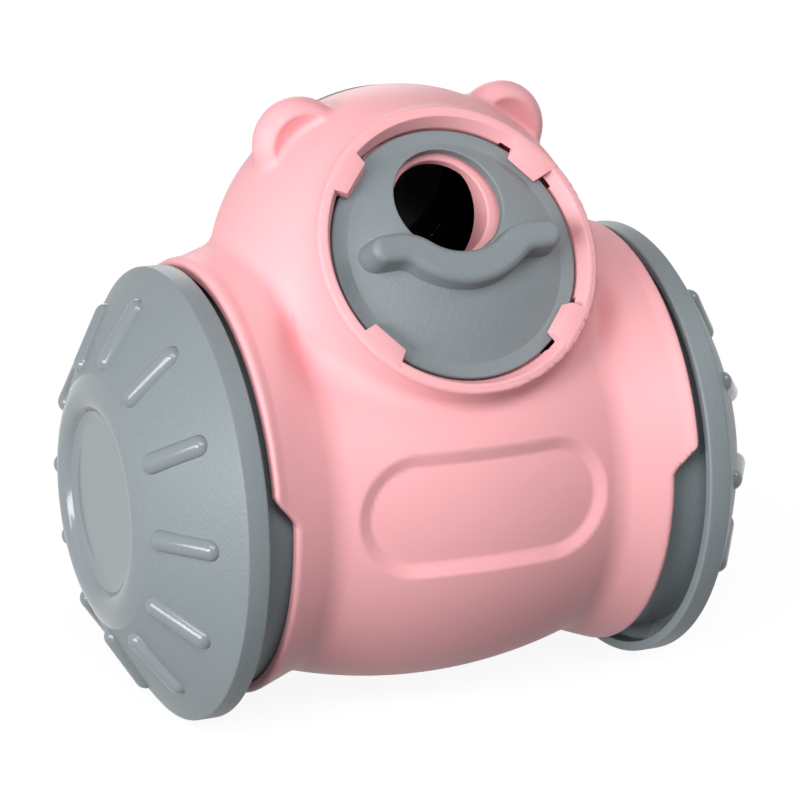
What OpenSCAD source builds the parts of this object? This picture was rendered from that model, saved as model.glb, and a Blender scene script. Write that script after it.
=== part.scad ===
// Wobble treat dispenser: a bear-shaped body carried between two coned wheels.
// Millimetres, +Z up. X runs along the axle, the face looks to -Y, the floor is z = 0.

/* [Wheels] */
// Outside diameter of each wheel
wheel_d = 96; // [92:1:104]
// Distance between the inner edges of the two wheels
track_w = 100; // [98:0.5:106]
// Width of the running rim
rim_w = 4.7; // [3.5:0.1:6]
// Height of the coned face, from the rim to the hub ring
cone_h = 14; // [12:0.5:16]
// Rise of the coned face above a straight cone
cone_bulge = 0.6; // [0.3:0.1:1]
// Wall of the wheel
wheel_wall = 2.2; // [1.8:0.1:2.6]
// Outside diameter of the hub ring
hub_ring_d = 53; // [51:0.5:55]
// Height of the hub ring's bead
hub_ring_h = 1.4; // [1:0.1:1.8]
// Diameter of the dish inside the hub ring
hub_dish_d = 38.4; // [36:0.2:40]
// Depth of the dish below the foot of the hub ring
hub_dish_depth = 1; // [0.6:0.1:1.4]
// Number of raised ribs on the coned face
rib_count = 12; // [8:1:14]
// Width of a raised rib
rib_w = 4.8; // [3.6:0.2:5.4]
// Height of a raised rib
rib_h = 1.6; // [1.2:0.1:1.8]
// Depth that a rib is let into the coned face
rib_sink = 1.2; // [1:0.1:1.6]
// Inner end of the ribs, from the wheel's axis
rib_in = 28.4; // [28:0.2:30]
// Outer end of the ribs, from the wheel's axis
rib_out = 42.6; // [40:0.2:43.4]
// Number of gussets behind the rim
gusset_count = 8; // [6:1:12]
// Thickness of a gusset
gusset_t = 1.4; // [1:0.1:2]
// Reach of the gussets in from the rim
gusset_in = 8.2; // [6:0.2:10]
// Height of the gussets' inner ends
gusset_low = 1.5; // [1:0.1:2]

/* [Body] */
// Width of the belly between its two creases
belly_w = 64.4; // [62:0.2:66]
// Space left between the belly and the floor
ground_gap = 2.8; // [2:0.1:4]
// Lift of the body's axis above the axle
body_lift = 1.2; // [0.8:0.1:1.6]
// Depth of the creases below the middle of the belly
waist_drop = 5; // [4:0.2:6]
// Radius of the fillet in the creases
waist_fillet = 7; // [5:0.5:9]
// Slope of the side skirts
skirt_slope = 22.3; // [20:0.1:23]
// Gap between the skirt edge and the wheel
skirt_gap = 2; // [1.5:0.1:3]
// How far the lower half of the skirt is cut back
skirt_cut = 4.8; // [3:0.1:6]
// Height above the axle where the cut ends
skirt_cut_up = 4; // [2:0.5:7]
// Slope of the end of the cut
skirt_cut_slope = 53; // [45:1:65]
// Wall of the body
shell_wall = 2.2; // [1.8:0.1:2.6]
// Depth of the end wall inside the skirt edge
end_wall_in = 11.5; // [11:0.1:12]
// Thickness of the end wall
end_wall_t = 2.5; // [2:0.1:3]
// Height of the shoulders' top line above the axle
shoulder_up = 49.9; // [49.4:0.1:50.6]
// Distance of the shoulder cone's point from the middle
shoulder_x = 8.9; // [8:0.1:10]
// Tilt of the shoulder cone below level
shoulder_tilt = 44.6; // [43:0.2:46]
// Half angle of the shoulder cone
shoulder_cone = 44.6; // [43:0.2:46]
// Depth that the shoulder's edge sinks into the skirt
shoulder_sink = 0.2; // [0.1:0.05:0.4]

/* [Belly panel] */
// Half length of the straight part of the recessed panel
panel_half = 16.9; // [12:0.1:18]
// Half height of the recessed panel
panel_r = 11.8; // [10:0.1:13]
// Depth of the recessed panel
panel_depth = 1.4; // [0.8:0.1:1.5]
// Height of the panel's centre above the axle
panel_up = 2; // [0:0.5:4]
// Draft of the panel's sides, as a ratio
panel_draft = 0.7; // [0.3:0.05:0.9]
// Depth behind the belly's front at which the panel has its radius
panel_at = 3.2; // [2.6:0.1:3.6]

/* [Head] */
// Diameter of the head
head_d = 82; // [80:0.5:84]
// Height of the head's centre above the axle
head_up = 41.7; // [41:0.1:43]
// Distance of each ear from the middle
ear_out = 24.4; // [22:0.2:26]
// Height of the ears' centres above the head's centre
ear_up = 31.8; // [30:0.2:33]
// Diameter of an ear
ear_d = 19.8; // [17:0.2:21]
// Thickness of an ear
ear_t = 9.6; // [8:0.2:11]
// Diameter of the scoop in front of an ear
ear_scoop_d = 13; // [10:0.2:14]
// Depth of the scoop in front of an ear
ear_scoop_depth = 2.4; // [1.5:0.1:2.8]

/* [Face and dial] */
// Tilt of the face away from upright
face_tilt = 30; // [27:0.5:32]
// Distance of the dial's flange in front of the head's centre
face_out = 29.2; // [28.6:0.1:30]
// Drop of the dial's centre below the head's centre, along the face
face_drop = 4.5; // [4:0.1:5]
// Outside diameter of the raised collar
collar_d = 62; // [61:0.2:63]
// Height of the collar's lip above the flange
collar_h = 2.9; // [2.5:0.1:3.3]
// Flare of the collar's inner wall, on the radius
collar_flare = 1.5; // [1:0.1:1.8]
// Diameter of the dial's flange
dial_d = 53.8; // [53:0.2:54.2]
// Gap around the dial's flange, on the radius
dial_gap = 0.5; // [0.3:0.05:0.6]
// Thickness of the dial's flange
flange_t = 2.2; // [1.8:0.1:2.6]
// Gap under the dial
dial_under = 0.3; // [0.2:0.05:0.5]
// Thickness of the floor under the dial
floor_t = 2.2; // [1.8:0.1:2.8]
// Diameter of the dial's dome
dome_d = 47.4; // [46:0.2:48]
// Height of the dial's dome
dome_h = 4.3; // [3.6:0.1:4.8]
// Diameter of the hole in the dial
hole_d = 23.8; // [22.4:0.2:24.4]
// Distance of the hole from the dial's centre
hole_up = 10.5; // [10.2:0.1:10.8]
// Diameter of the treat chute behind the dial
chute_d = 21.3; // [18:0.1:21.8]
// Length of the treat chute below the flange
chute_len = 9.6; // [8:0.2:11]
// Wall of the treat chute
chute_wall = 1.8; // [1.4:0.1:2.2]
// Width of the dial's grip
grip_w = 6.6; // [5.6:0.1:6.8]
// Height of the dial's grip above the flange
grip_h = 8.2; // [7:0.1:9]
// Radius of the grip's top edges
grip_round = 2; // [1.2:0.1:2.4]
// Gap between the hole and the grip
grip_gap = 0.6; // [0.3:0.1:0.8]
// Half length of the grip
grip_half = 21.2; // [20.6:0.1:21.6]
// Height of the grip's arms above the dial's centre
grip_up = 0.3; // [-0.5:0.1:1]

/* [Snap lugs] */
// Angle of the snap lugs from the X axis
lug_angle = 41; // [38:1:44]
// Width of a lug at its root
lug_w = 10.6; // [9:0.2:11.4]
// Width of a lug at its tip
lug_tip_w = 7.2; // [6:0.2:8]
// Reach of a lug over the flange
lug_reach = 2.1; // [1.7:0.1:2.3]
// Gap between a lug and the flange
lug_gap = 0.35; // [0.3:0.05:0.6]
// Extra width of the moulding window under a lug
window_more = 2.2; // [1.6:0.2:2.6]
// Width of the moulding window, along the radius
window_w = 2.8; // [2:0.1:3]
// Reach of the windows beyond the wall of the dial's well
window_out = 0.7; // [0.4:0.1:0.9]

/* [Rear lid] */
// Outside diameter of the lid
lid_d = 54.2; // [53:0.2:55]
// Distance of the lid's rim behind the head's centre
lid_out = 31.3; // [31:0.1:31.8]
// Height of the lid's rim
lid_h = 6.6; // [6.2:0.1:7]
// Thickness of the lid's top
lid_t = 2.2; // [1.8:0.1:2.5]
// Height of the lid's dome
lid_dome_h = 2.4; // [1.8:0.1:3]
// Outside diameter of the filler neck
neck_d = 47; // [46:0.2:47.6]
// Wall of the filler neck
neck_wall = 2.4; // [2:0.1:2.8]
// Gap between neck and lid
neck_gap = 0.4; // [0.3:0.05:0.5]
// Reach of a bayonet peg
peg_reach = 1.4; // [1:0.1:1.5]
// Angle covered by a bayonet peg
peg_angle = 9; // [6:1:12]
// Height of a bayonet peg
peg_h = 1.5; // [1.2:0.1:1.8]
// Height of the pegs above the lid's lower edge
peg_up = 2.1; // [1.9:0.1:2.4]
// Clearance at the tip of the pegs
peg_gap = 0.3; // [0.2:0.05:0.4]
// Turn of the lid from shut to free
lid_turn = 45; // [40:1:55]
// Length of the lid's grip
lid_grip = 38; // [30:0.5:42]

/* [Axles] */
// Diameter of the stub axles
axle_d = 8; // [7:0.5:9]
// Diameter of the axle's clamped collar
axle_collar_d = 13; // [12:0.5:14]
// Thickness of the axle's clamped collar
axle_collar_t = 2; // [1.6:0.1:2.4]
// Running clearance of the bush on the axle, on the radius
run_clear = 0.05; // [0.02:0.01:0.09]
// Wall of the bush
bush_wall = 2; // [1.6:0.1:2.4]
// Seating clearance of pieces that are pressed or clamped
seat_clear = 0.03; // [0.02:0.01:0.05]
// Wall of the axle bosses
boss_wall = 3; // [2.4:0.1:3.4]
// Length of the axle bosses inside the end walls
boss_in = 3.75; // [3:0.25:4.5]
// Length of the axle bosses outside the end walls
boss_out = 7; // [6:0.5:7.5]
// Side play of the wheel
side_play = 0.5; // [0.3:0.1:0.6]
// Depth of the washer's seat below the dish
washer_in = 5.8; // [5.6:0.1:6.2]
// Diameter of the washer
washer_d = 14; // [13:0.2:15]
// Thickness of the washer
washer_t = 1; // [0.8:0.1:1.2]
// Thickness of the hub cap
cap_t = 1.6; // [1.3:0.1:1.8]
// Diameter of the axle screw
axle_screw_d = 4; // [3:0.5:4]
// Depth of the axle screw in the axle
axle_screw_len = 12; // [8:0.5:16]
// Diameter of the axle screw's head
axle_head_d = 7.4; // [7:0.2:8]
// Height of the axle screw's head
axle_head_h = 2.4; // [2:0.1:2.6]

/* [Screws] */
// Diameter of the shell screws and cover screws
screw_d = 3; // [2.5:0.1:3.2]
// Diameter of the screw heads
screw_head_d = 5.6; // [5:0.1:5.8]
// Height of the screw heads
screw_head_h = 2; // [1.6:0.1:2.4]
// Distance of the shell screws' heads behind the split
screw_back = 10; // [8:0.5:11]
// Depth of the shell screws in the front shell
screw_bite = 9; // [7:0.5:10]
// Wall of the screw bosses
screw_boss_wall = 2; // [1.6:0.1:2.2]
// Distance of the upper shell screws from the middle
top_screw_out = 33; // [32.6:0.2:34]
// Height of the upper shell screws above the axle
top_screw_up = 24; // [22:0.5:26]
// Distance of the lower shell screws from the middle
low_screw_out = 27; // [26.6:0.2:27.6]
// Depth of the lower shell screws below the axle
low_screw_down = 29; // [28:0.5:30]

/* [Counterweight] */
// Length of the counterweight along the axle
weight_len = 40; // [34:1:41]
// Depth of the counterweight, front to back
weight_dep = 44; // [40:1:46]
// Height of the counterweight above the floor of the belly
weight_h = 12.6; // [11:0.2:13]
// Gap round the counterweight
weight_gap = 0.4; // [0.3:0.05:0.6]
// Thickness of the cover
cover_t = 2; // [1.6:0.1:2.4]
// Overhang of the cover beyond the weight
cover_over = 1.5; // [1:0.1:1.6]
// Distance of the cover screws from the split
cover_screw_out = 13; // [11:0.5:14]
// Depth of the cover screws in their bosses
cover_bite = 5; // [4:0.2:5.4]

/* [Hidden] */
$fn = 96;
fine = 0.01;
over = 1;
pink = [0.96, 0.66, 0.68];
grey = [0.58, 0.62, 0.65];
steel = [0.72, 0.73, 0.74];
acetal = [0.92, 0.91, 0.88];
iron = [0.32, 0.33, 0.34];
wheel_r = wheel_d / 2;
axle_z = wheel_r;
body_z = axle_z + body_lift;
head_z = axle_z + head_up;
head_r = head_d / 2;
rim_x = track_w / 2;
hub_x = rim_x + rim_w + cone_h;
dish_x = hub_x - hub_dish_depth;
cap_x = dish_x - cap_t;
seat_x = dish_x - washer_in;
skirt_x = rim_x - skirt_gap;
belly_x = belly_w / 2;
belly_r = wheel_r - ground_gap + body_lift;
waist_r = belly_r - waist_drop;
belly_arc = (belly_x * belly_x + waist_drop * waist_drop) / (2 * waist_drop);
skirt_r = waist_r + (skirt_x - belly_x) * tan(skirt_slope);
end_x = skirt_x - end_wall_in;
wall_x = end_x - end_wall_t;
boss_in_x = wall_x - boss_in;
boss_out_x = end_x + boss_out;
boss_r = axle_collar_d / 2 + boss_wall;
wheel_boss_x = boss_out_x + side_play;
bush_r = axle_d / 2 + bush_wall;
axle_end_x = seat_x + side_play;
collar_x = wall_x + end_wall_t / 4;
screw_boss_r = screw_head_d / 2 + screw_boss_wall;
well_r = screw_head_d / 2 + weight_gap;
dial_r = dial_d / 2;
well_wall_r = dial_r + dial_gap;
floor_top = -flange_t - dial_under;
floor_low = floor_top - floor_t;
dome_r = dome_d / 2;
lid_r = lid_d / 2;
neck_r = neck_d / 2;
lid_in_r = neck_r + neck_gap;
peg_z = -lid_h + peg_up;
weight_z = body_z - belly_r + shell_wall + weight_gap + weight_h;
cover_z = weight_z + weight_gap;
shoulder_len = 0.7 * wheel_d;
lug_ramp = 0.6 * lug_reach;
face_core = 4 * over;

// A revolved solid about the axle line: x of the profile is the radius, y runs along the axle.
module about_axle(z) {
  translate([0, 0, z])
    rotate([90, 0, 90])
      rotate_extrude()
        children();
}

// Frame of the front face: z outward, y up along the face, z = 0 on the dial's flange.
module on_face() {
  translate([0, 0, head_z])
    rotate([90 - face_tilt, 0, 0])
      translate([0, -face_drop, face_out])
        children();
}

// Frame of the rear face: z outward, z = 0 on the edge of the lid's rim.
module on_back() {
  rotate([0, 0, 180])
    translate([0, 0, head_z])
      rotate([90 - face_tilt, 0, 0])
        translate([0, 0, lid_out])
          children();
}

module both_sides() {
  children();
  mirror([1, 0, 0])
    children();
}

// A cylinder along +X that starts at x.
module rod_x(x, len, r) {
  translate([x, 0, axle_z])
    rotate([0, 90, 0])
      cylinder(h = len, r = r);
}

// The soft crease: the corner between belly and skirt, less the fillet's circle.
module crease_fill() {
  t = [sin(skirt_slope), cos(skirt_slope)];
  n = [cos(skirt_slope), -sin(skirt_slope)];
  v = [waist_r, belly_x];
  b = [belly_r - belly_arc, 0];
  d = v + waist_fillet * n - b;
  reach = belly_arc + waist_fillet;
  s = -d * t + sqrt((d * t) * (d * t) - d * d + reach * reach);
  f = v + s * t + waist_fillet * n;
  on_belly = b + (f - b) * belly_arc / reach;
  difference() {
    polygon([on_belly, v - [over, 0], v + s * t, f]);
    translate(f)
      circle(r = waist_fillet);
  }
}

module belly_outline() {
  intersection() {
    translate([belly_r - belly_arc, 0])
      circle(r = belly_arc, $fn = 200);
    translate([0, -belly_x])
      square([belly_r + over, belly_w]);
  }
}

module skirt_outline() {
  polygon([
    [0, belly_x - over],
    [waist_r - over, belly_x - over],
    [waist_r, belly_x],
    [skirt_r, skirt_x],
    [0, skirt_x]
  ]);
}

// Belly, creases and side skirts as one turned solid.
module torso() {
  about_axle(body_z) {
    belly_outline();
    skirt_outline();
    crease_fill();
    mirror([0, 1])
      skirt_outline();
    mirror([0, 1])
      crease_fill();
  }
}

// Shoulder that runs from the side of the head down into the upper skirt: part of a slanted cone,
// kept inside the planes that touch the skirt half way down.
module shoulder() {
  near_x = belly_x / 2;
  near_r = waist_r - (belly_x - near_x) * tan(skirt_slope);
  intersection() {
    translate([shoulder_x, 0, axle_z + shoulder_up])
      rotate([0, 90 + shoulder_tilt, 0])
        cylinder(h = shoulder_len, r1 = 0, r2 = shoulder_len * tan(shoulder_cone));
    translate([near_x, 0, body_z])
      rotate([0, 90, 0])
        cylinder(h = skirt_x - near_x, r = skirt_r);
    translate([near_x, 0, body_z])
      rotate([0, 90, 0])
        cylinder(h = skirt_x - near_x, r1 = (near_r - shoulder_sink) * sqrt(2),
          r2 = (skirt_r - shoulder_sink) * sqrt(2), $fn = 4);
    translate([near_x, 0, body_z])
      rotate([90, 0, 90])
        linear_extrude(height = wheel_r)
          polygon([[0, 0], [wheel_d, wheel_d], [-wheel_d, wheel_d]]);
  }
}

module ear() {
  round_r = ear_t / 2;
  bowl = (ear_scoop_d * ear_scoop_d / 4 + ear_scoop_depth * ear_scoop_depth) / (2 * ear_scoop_depth);
  translate([ear_out, 0, head_z + ear_up])
    rotate([90, 0, 0])
      difference() {
        rotate_extrude() {
          translate([0, -round_r])
            square([ear_d / 2 - round_r, ear_t]);
          intersection() {
            translate([ear_d / 2 - round_r, 0])
              circle(r = round_r);
            translate([0, -ear_t])
              square([ear_d, 2 * ear_t]);
          }
        }
        translate([0, 0, round_r + bowl - ear_scoop_depth])
          sphere(r = bowl);
      }
}

// Solid outside shape of the whole body.
module body_solid() {
  torso();
  translate([0, 0, head_z])
    sphere(r = head_r);
  both_sides() {
    shoulder();
    ear();
  }
  on_face()
    translate([0, 0, -face_out])
      cylinder(h = face_out + collar_h, r = collar_d / 2);
}

// Hollow inside of the body: belly, head, and the back of the dial's floor.
module chamber() {
  difference() {
    union() {
      about_axle(body_z)
        intersection() {
          translate([belly_r - belly_arc, 0])
            circle(r = belly_arc - shell_wall, $fn = 200);
          translate([0, -wall_x])
            square([belly_r, 2 * wall_x]);
        }
      translate([0, 0, head_z])
        sphere(r = head_r - shell_wall);
      on_face()
        translate([0, 0, -face_out + face_core])
          cylinder(h = face_out - face_core + floor_low, r = collar_d / 2 - shell_wall);
    }
    on_face() {
      translate([0, 0, floor_low])
        cylinder(h = head_d, r = collar_d / 2);
      translate([0, hole_up, -chute_len])
        cylinder(h = chute_len, r = chute_d / 2 + chute_wall);
    }
    on_back()
      translate([0, 0, -lid_h - neck_gap - shell_wall])
        cylinder(h = head_d, r = lid_r + neck_gap + shell_wall);
  }
}

// Open space inside the skirts, outside the end walls.
module skirt_hollow() {
  inner = skirt_r - shell_wall;
  about_axle(body_z)
    polygon([
      [0, end_x],
      [inner - (skirt_x - end_x) * tan(skirt_slope), end_x],
      [inner + over * tan(skirt_slope), skirt_x + over],
      [0, skirt_x + over]
    ]);
}

// The cut that shortens the lower half of a skirt.
module skirt_notch() {
  side = skirt_x - skirt_cut;
  rise = 3 * skirt_cut;
  translate([0, wheel_d, axle_z])
    rotate([90, 0, 0])
      linear_extrude(height = 2 * wheel_d)
        polygon([
          [side, -wheel_d],
          [side, skirt_cut_up],
          [side + rise, skirt_cut_up + rise * tan(skirt_cut_slope)],
          [side + rise, -wheel_d]
        ]);
}

module panel_cut() {
  top_y = -belly_r - 2 * over;
  mid_y = -belly_r + panel_at;
  high_r = panel_r + (mid_y - top_y) * panel_draft;
  deep = waist_r - panel_depth - 4 * over;
  low_r = panel_r - (-mid_y - deep) * panel_draft;
  difference() {
    translate([0, 0, axle_z + panel_up]) {
      for (side = [-1, 1])
        translate([side * panel_half, -deep, 0])
          rotate([90, 0, 0])
            cylinder(h = -top_y - deep, r1 = low_r, r2 = high_r);
      translate([-panel_half, 0, 0])
        rotate([90, 0, 90])
          linear_extrude(height = 2 * panel_half)
            polygon([
              [-deep, -low_r],
              [top_y, -high_r],
              [top_y, high_r],
              [-deep, low_r]
            ]);
    }
    about_axle(body_z)
      intersection() {
        translate([belly_r - belly_arc, 0])
          circle(r = belly_arc - panel_depth, $fn = 200);
        translate([0, -belly_x])
          square([belly_r, belly_w]);
      }
  }
}

// Boss on the end wall that clamps an axle.
module axle_boss() {
  rod_x(boss_in_x, boss_out_x - boss_in_x, boss_r);
}

module axle_hole() {
  rod_x(boss_in_x - over, boss_out_x - boss_in_x + 2 * over, axle_d / 2 + seat_clear);
  rod_x(collar_x - seat_clear, axle_collar_t + 2 * seat_clear, axle_collar_d / 2 + seat_clear);
}

// Places of the four shell screws, each with z along +Y.
module at_shell_screws() {
  for (side = [-1, 1]) {
    translate([side * top_screw_out, 0, axle_z + top_screw_up])
      rotate([-90, 0, 0])
        children();
    translate([side * low_screw_out, 0, axle_z - low_screw_down])
      rotate([-90, 0, 0])
        children();
  }
}

module at_cover_screws() {
  for (side = [-1, 1])
    translate([0, side * cover_screw_out, cover_z])
      children();
}

// Screw bosses inside the body, before it is split.
module body_inside() {
  intersection() {
    torso();
    union() {
      at_shell_screws()
        translate([0, 0, -wheel_r])
          cylinder(h = wheel_d, r = screw_boss_r);
      at_cover_screws()
        translate([0, 0, -axle_z])
          cylinder(h = axle_z, r = screw_d / 2 + screw_boss_wall);
    }
  }
}

module body_holes() {
  both_sides() {
    axle_hole();
    skirt_notch();
  }
  at_shell_screws() {
    translate([0, 0, -screw_bite - over])
      cylinder(h = screw_bite + screw_back + 2 * over, r = screw_d / 2 + seat_clear);
    translate([0, 0, screw_back])
      cylinder(h = wheel_d, r = well_r);
  }
  at_cover_screws()
    translate([0, 0, -cover_bite - over / 2])
      cylinder(h = cover_bite + over, r = screw_d / 2 + seat_clear);
}

module half_space(side) {
  translate([-wheel_d, side > 0 ? 0 : -wheel_d, -wheel_d])
    cube([2 * wheel_d, wheel_d, 4 * wheel_d]);
}

module snap_lug() {
  root = well_wall_r + collar_flare;
  tip = dial_r - lug_reach;
  low = lug_gap;
  intersection() {
    translate([0, lug_w / 2, 0])
      rotate([90, 0, 0])
        linear_extrude(height = lug_w)
          polygon([[tip, low], [tip + lug_ramp, collar_h], [root + over, collar_h], [root + over, low]]);
    linear_extrude(height = 2 * collar_h)
      polygon([
        [tip, -lug_tip_w / 2],
        [root, -lug_w / 2],
        [root + over, -lug_w / 2],
        [root + over, lug_w / 2],
        [root, lug_w / 2],
        [tip, lug_tip_w / 2]
      ]);
  }
}

module at_lugs() {
  for (a = [lug_angle, 180 - lug_angle, 180 + lug_angle, -lug_angle])
    rotate([0, 0, a])
      children();
}

// Dial well, chute bore and moulding windows of the face.
module face_holes() {
  translate([0, 0, floor_top])
    cylinder(h = -floor_top + fine, r = well_wall_r);
  cylinder(h = collar_h, r1 = well_wall_r, r2 = well_wall_r + collar_flare);
  translate([0, 0, collar_h - fine])
    cylinder(h = head_d, r = well_wall_r + collar_flare);
  translate([0, hole_up, -chute_len - over])
    cylinder(h = chute_len + over, r = chute_d / 2);
  at_lugs()
    translate([well_wall_r + window_out - window_w, -lug_w / 2 - window_more / 2, floor_low - over])
      cube([window_w, lug_w + window_more, floor_t + 2 * over]);
}

module front_shell() {
  color(pink) {
    difference() {
      union() {
        difference() {
          body_solid();
          chamber();
          both_sides()
            skirt_hollow();
        }
        both_sides()
          axle_boss();
        body_inside();
      }
      on_face()
        face_holes();
      panel_cut();
      body_holes();
      half_space(1);
    }
    on_face()
      at_lugs()
        snap_lug();
  }
}

// Bayonet peg on the filler neck, centred on angle a.
module peg(a) {
  rotate([0, 0, a - peg_angle / 2])
    rotate_extrude(angle = peg_angle)
      translate([neck_r - over, peg_z])
        square([over + neck_gap + peg_reach - peg_gap, peg_h]);
}

module filler_neck() {
  difference() {
    union() {
      translate([0, 0, -lid_h - neck_gap - shell_wall])
        cylinder(h = lid_h + neck_gap + shell_wall - lid_t - neck_gap, r = neck_r);
      for (a = [90, 210, 330])
        peg(a);
    }
    translate([0, 0, -lid_out])
      cylinder(h = head_d, r = neck_r - neck_wall);
  }
}

module rear_shell() {
  color(pink) {
    difference() {
      union() {
        difference() {
          body_solid();
          chamber();
          both_sides()
            skirt_hollow();
          on_back()
            translate([0, 0, -lid_h - neck_gap])
              cylinder(h = head_d, r = lid_r + neck_gap);
        }
        both_sides()
          axle_boss();
        body_inside();
      }
      on_back()
        translate([0, 0, -lid_h - neck_gap - shell_wall - over])
          cylinder(h = head_d, r = neck_r - neck_wall);
      body_holes();
      half_space(-1);
    }
    on_back()
      filler_neck();
  }
}

// Section of the grip: a bar with rounded top edges, on the centre line x = 0.
module grip_section() {
  half = grip_w / 2;
  translate([-half, 0])
    square([grip_w, grip_h - grip_round]);
  translate([-half + grip_round, 0])
    square([grip_w - 2 * grip_round, grip_h]);
  for (side = [-1, 1])
    translate([side * (half - grip_round), grip_h - grip_round])
      circle(r = grip_round);
}

module half_grip_section() {
  intersection() {
    grip_section();
    square([grip_w, 2 * grip_h]);
  }
}

// The grip runs round the foot of the hole and ends in two level arms.
module dial_grip() {
  arc_r = hole_d / 2 + grip_gap + grip_w / 2;
  bend = acos((hole_up - grip_up) / arc_r);
  arm_x = arc_r * sin(bend) - grip_w / 2;
  translate([0, hole_up, 0])
    rotate([0, 0, -90 - bend])
      rotate_extrude(angle = 2 * bend)
        translate([arc_r, 0])
          grip_section();
  both_sides()
    translate([arm_x, grip_up, 0]) {
      rotate([90, 0, 90])
        linear_extrude(height = grip_half - grip_w / 2 - arm_x)
          grip_section();
      translate([grip_half - grip_w / 2 - arm_x, 0, 0])
        rotate_extrude()
          half_grip_section();
    }
}

// Outline of a low dome of height h on a disc of radius r, lowered by drop and shut below at low.
module dome_outline(r, h, drop, low) {
  ball = (r * r + h * h) / (2 * h);
  intersection() {
    translate([0, h - ball])
      circle(r = ball - drop, $fn = 720);
    translate([0, low])
      square([r - drop, h - low + over]);
  }
}

module front_dial() {
  color(grey)
    on_face()
      difference() {
        union() {
          translate([0, 0, -flange_t])
            cylinder(h = flange_t, r = dial_r);
          rotate_extrude()
            dome_outline(dome_r, dome_h, 0, -flange_t / 2);
          dial_grip();
        }
        rotate_extrude()
          dome_outline(dome_r, dome_h, flange_t, -flange_t - over);
        translate([0, hole_up, -flange_t - over])
          cylinder(h = grip_h + flange_t + 2 * over, r = hole_d / 2);
      }
}

// Bayonet way inside the lid: an entry slot and a level groove, for the peg at angle a.
module bayonet_way(a) {
  spare = 2;
  side = peg_angle + 2 * spare;
  rotate([0, 0, a - side / 2 - lid_turn])
    rotate_extrude(angle = side + lid_turn)
      translate([lid_in_r - over, peg_z - neck_gap])
        square([over + peg_reach, peg_h + 2 * neck_gap]);
  rotate([0, 0, a - side / 2 - lid_turn])
    rotate_extrude(angle = side)
      translate([lid_in_r - over, -lid_h - over])
        square([over + peg_reach, lid_h + over + peg_z]);
}

module rear_lid() {
  color(grey)
    on_back()
      difference() {
        union() {
          rotate_extrude() {
            translate([0, -lid_h])
              square([lid_r, lid_h]);
            dome_outline(lid_r, lid_dome_h, 0, -lid_t);
          }
          translate([-lid_grip / 2 + grip_w / 2, 0, 0])
            rotate([90, 0, 90])
              linear_extrude(height = lid_grip - grip_w)
                grip_section();
          both_sides()
            translate([lid_grip / 2 - grip_w / 2, 0, 0])
              rotate_extrude()
                half_grip_section();
        }
        translate([0, 0, -lid_h - over])
          cylinder(h = lid_h + over - lid_t, r = lid_in_r);
        for (a = [90, 210, 330])
          bayonet_way(a);
      }
}

// Outline of the wheel's outside, from the axis to the rim. The coned face bulges a little.
module wheel_outline() {
  ring_r = hub_ring_d / 2;
  polygon([[0, rim_x], [wheel_r, rim_x], [wheel_r, rim_x + rim_w], [ring_r, hub_x], [0, hub_x]]);
  face_bulge();
}

// Round segment between the rim's edge and the foot of the hub ring.
module face_bulge() {
  a = [wheel_r, rim_x + rim_w];
  b = [hub_ring_d / 2, hub_x];
  chord = norm(a - b);
  ball = (chord * chord / 4 + cone_bulge * cone_bulge) / (2 * cone_bulge);
  n = [hub_x - rim_x - rim_w, wheel_r - hub_ring_d / 2] / chord;
  c = (a + b) / 2 - (ball - cone_bulge) * n;
  intersection() {
    translate(c)
      circle(r = ball, $fn = 720);
    polygon([a, b, b + 2 * n, a + 2 * n]);
  }
}

// The hub ring's bead, a round segment on the foot line.
module ring_bead() {
  out_r = hub_ring_d / 2;
  in_r = hub_dish_d / 2;
  half = (out_r - in_r) / 2;
  bead = (half * half + hub_ring_h * hub_ring_h) / (2 * hub_ring_h);
  intersection() {
    translate([in_r + half, hub_x + hub_ring_h - bead])
      circle(r = bead);
    translate([in_r, hub_x - hub_dish_depth])
      square([2 * half, hub_dish_depth + 2 * hub_ring_h]);
  }
}

module wheel_hollow() {
  rise = wheel_wall / cos(atan2(cone_h, wheel_r - hub_ring_d / 2));
  ring_r = hub_ring_d / 2;
  top_x = cap_x - wheel_wall;
  slope = cone_h / (wheel_r - ring_r);
  inner_r = wheel_r - wheel_wall;
  top_r = wheel_r - (top_x - rim_x - rim_w + rise) / slope;
  polygon([
    [0, rim_x - over],
    [inner_r, rim_x - over],
    [inner_r, rim_x + rim_w + wheel_wall * slope - rise],
    [top_r, top_x],
    [0, top_x]
  ]);
}

// Half outline of a bar with round ends, turned about its length to make a rib.
module bar_outline(half, r) {
  intersection() {
    union() {
      translate([0, -half])
        square([r, 2 * half]);
      for (side = [-1, 1])
        translate([0, side * half])
          circle(r = r);
    }
    translate([0, -half - 2 * r])
      square([2 * r, 2 * half + 4 * r]);
  }
}

// Raised rib with round ends, let into the coned face by rib_sink.
module wheel_rib() {
  slope = atan2(cone_h, wheel_r - hub_ring_d / 2);
  mid_r = (rib_in + rib_out) / 2;
  mid_x = rim_x + rim_w + (wheel_r - mid_r) * tan(slope) + cone_bulge;
  half = (rib_out - rib_in) / 2 / cos(slope) - rib_w / 2;
  translate([mid_x, -mid_r, 0])
    rotate([0, 0, -slope])
      intersection() {
        translate([rib_h - rib_w / 2, 0, 0])
          rotate([-90, 0, 0])
            rotate_extrude()
              bar_outline(half, rib_w / 2);
        translate([-rib_sink, -wheel_r / 2, -rib_w])
          cube([rib_w, wheel_r, 2 * rib_w]);
      }
}

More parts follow.
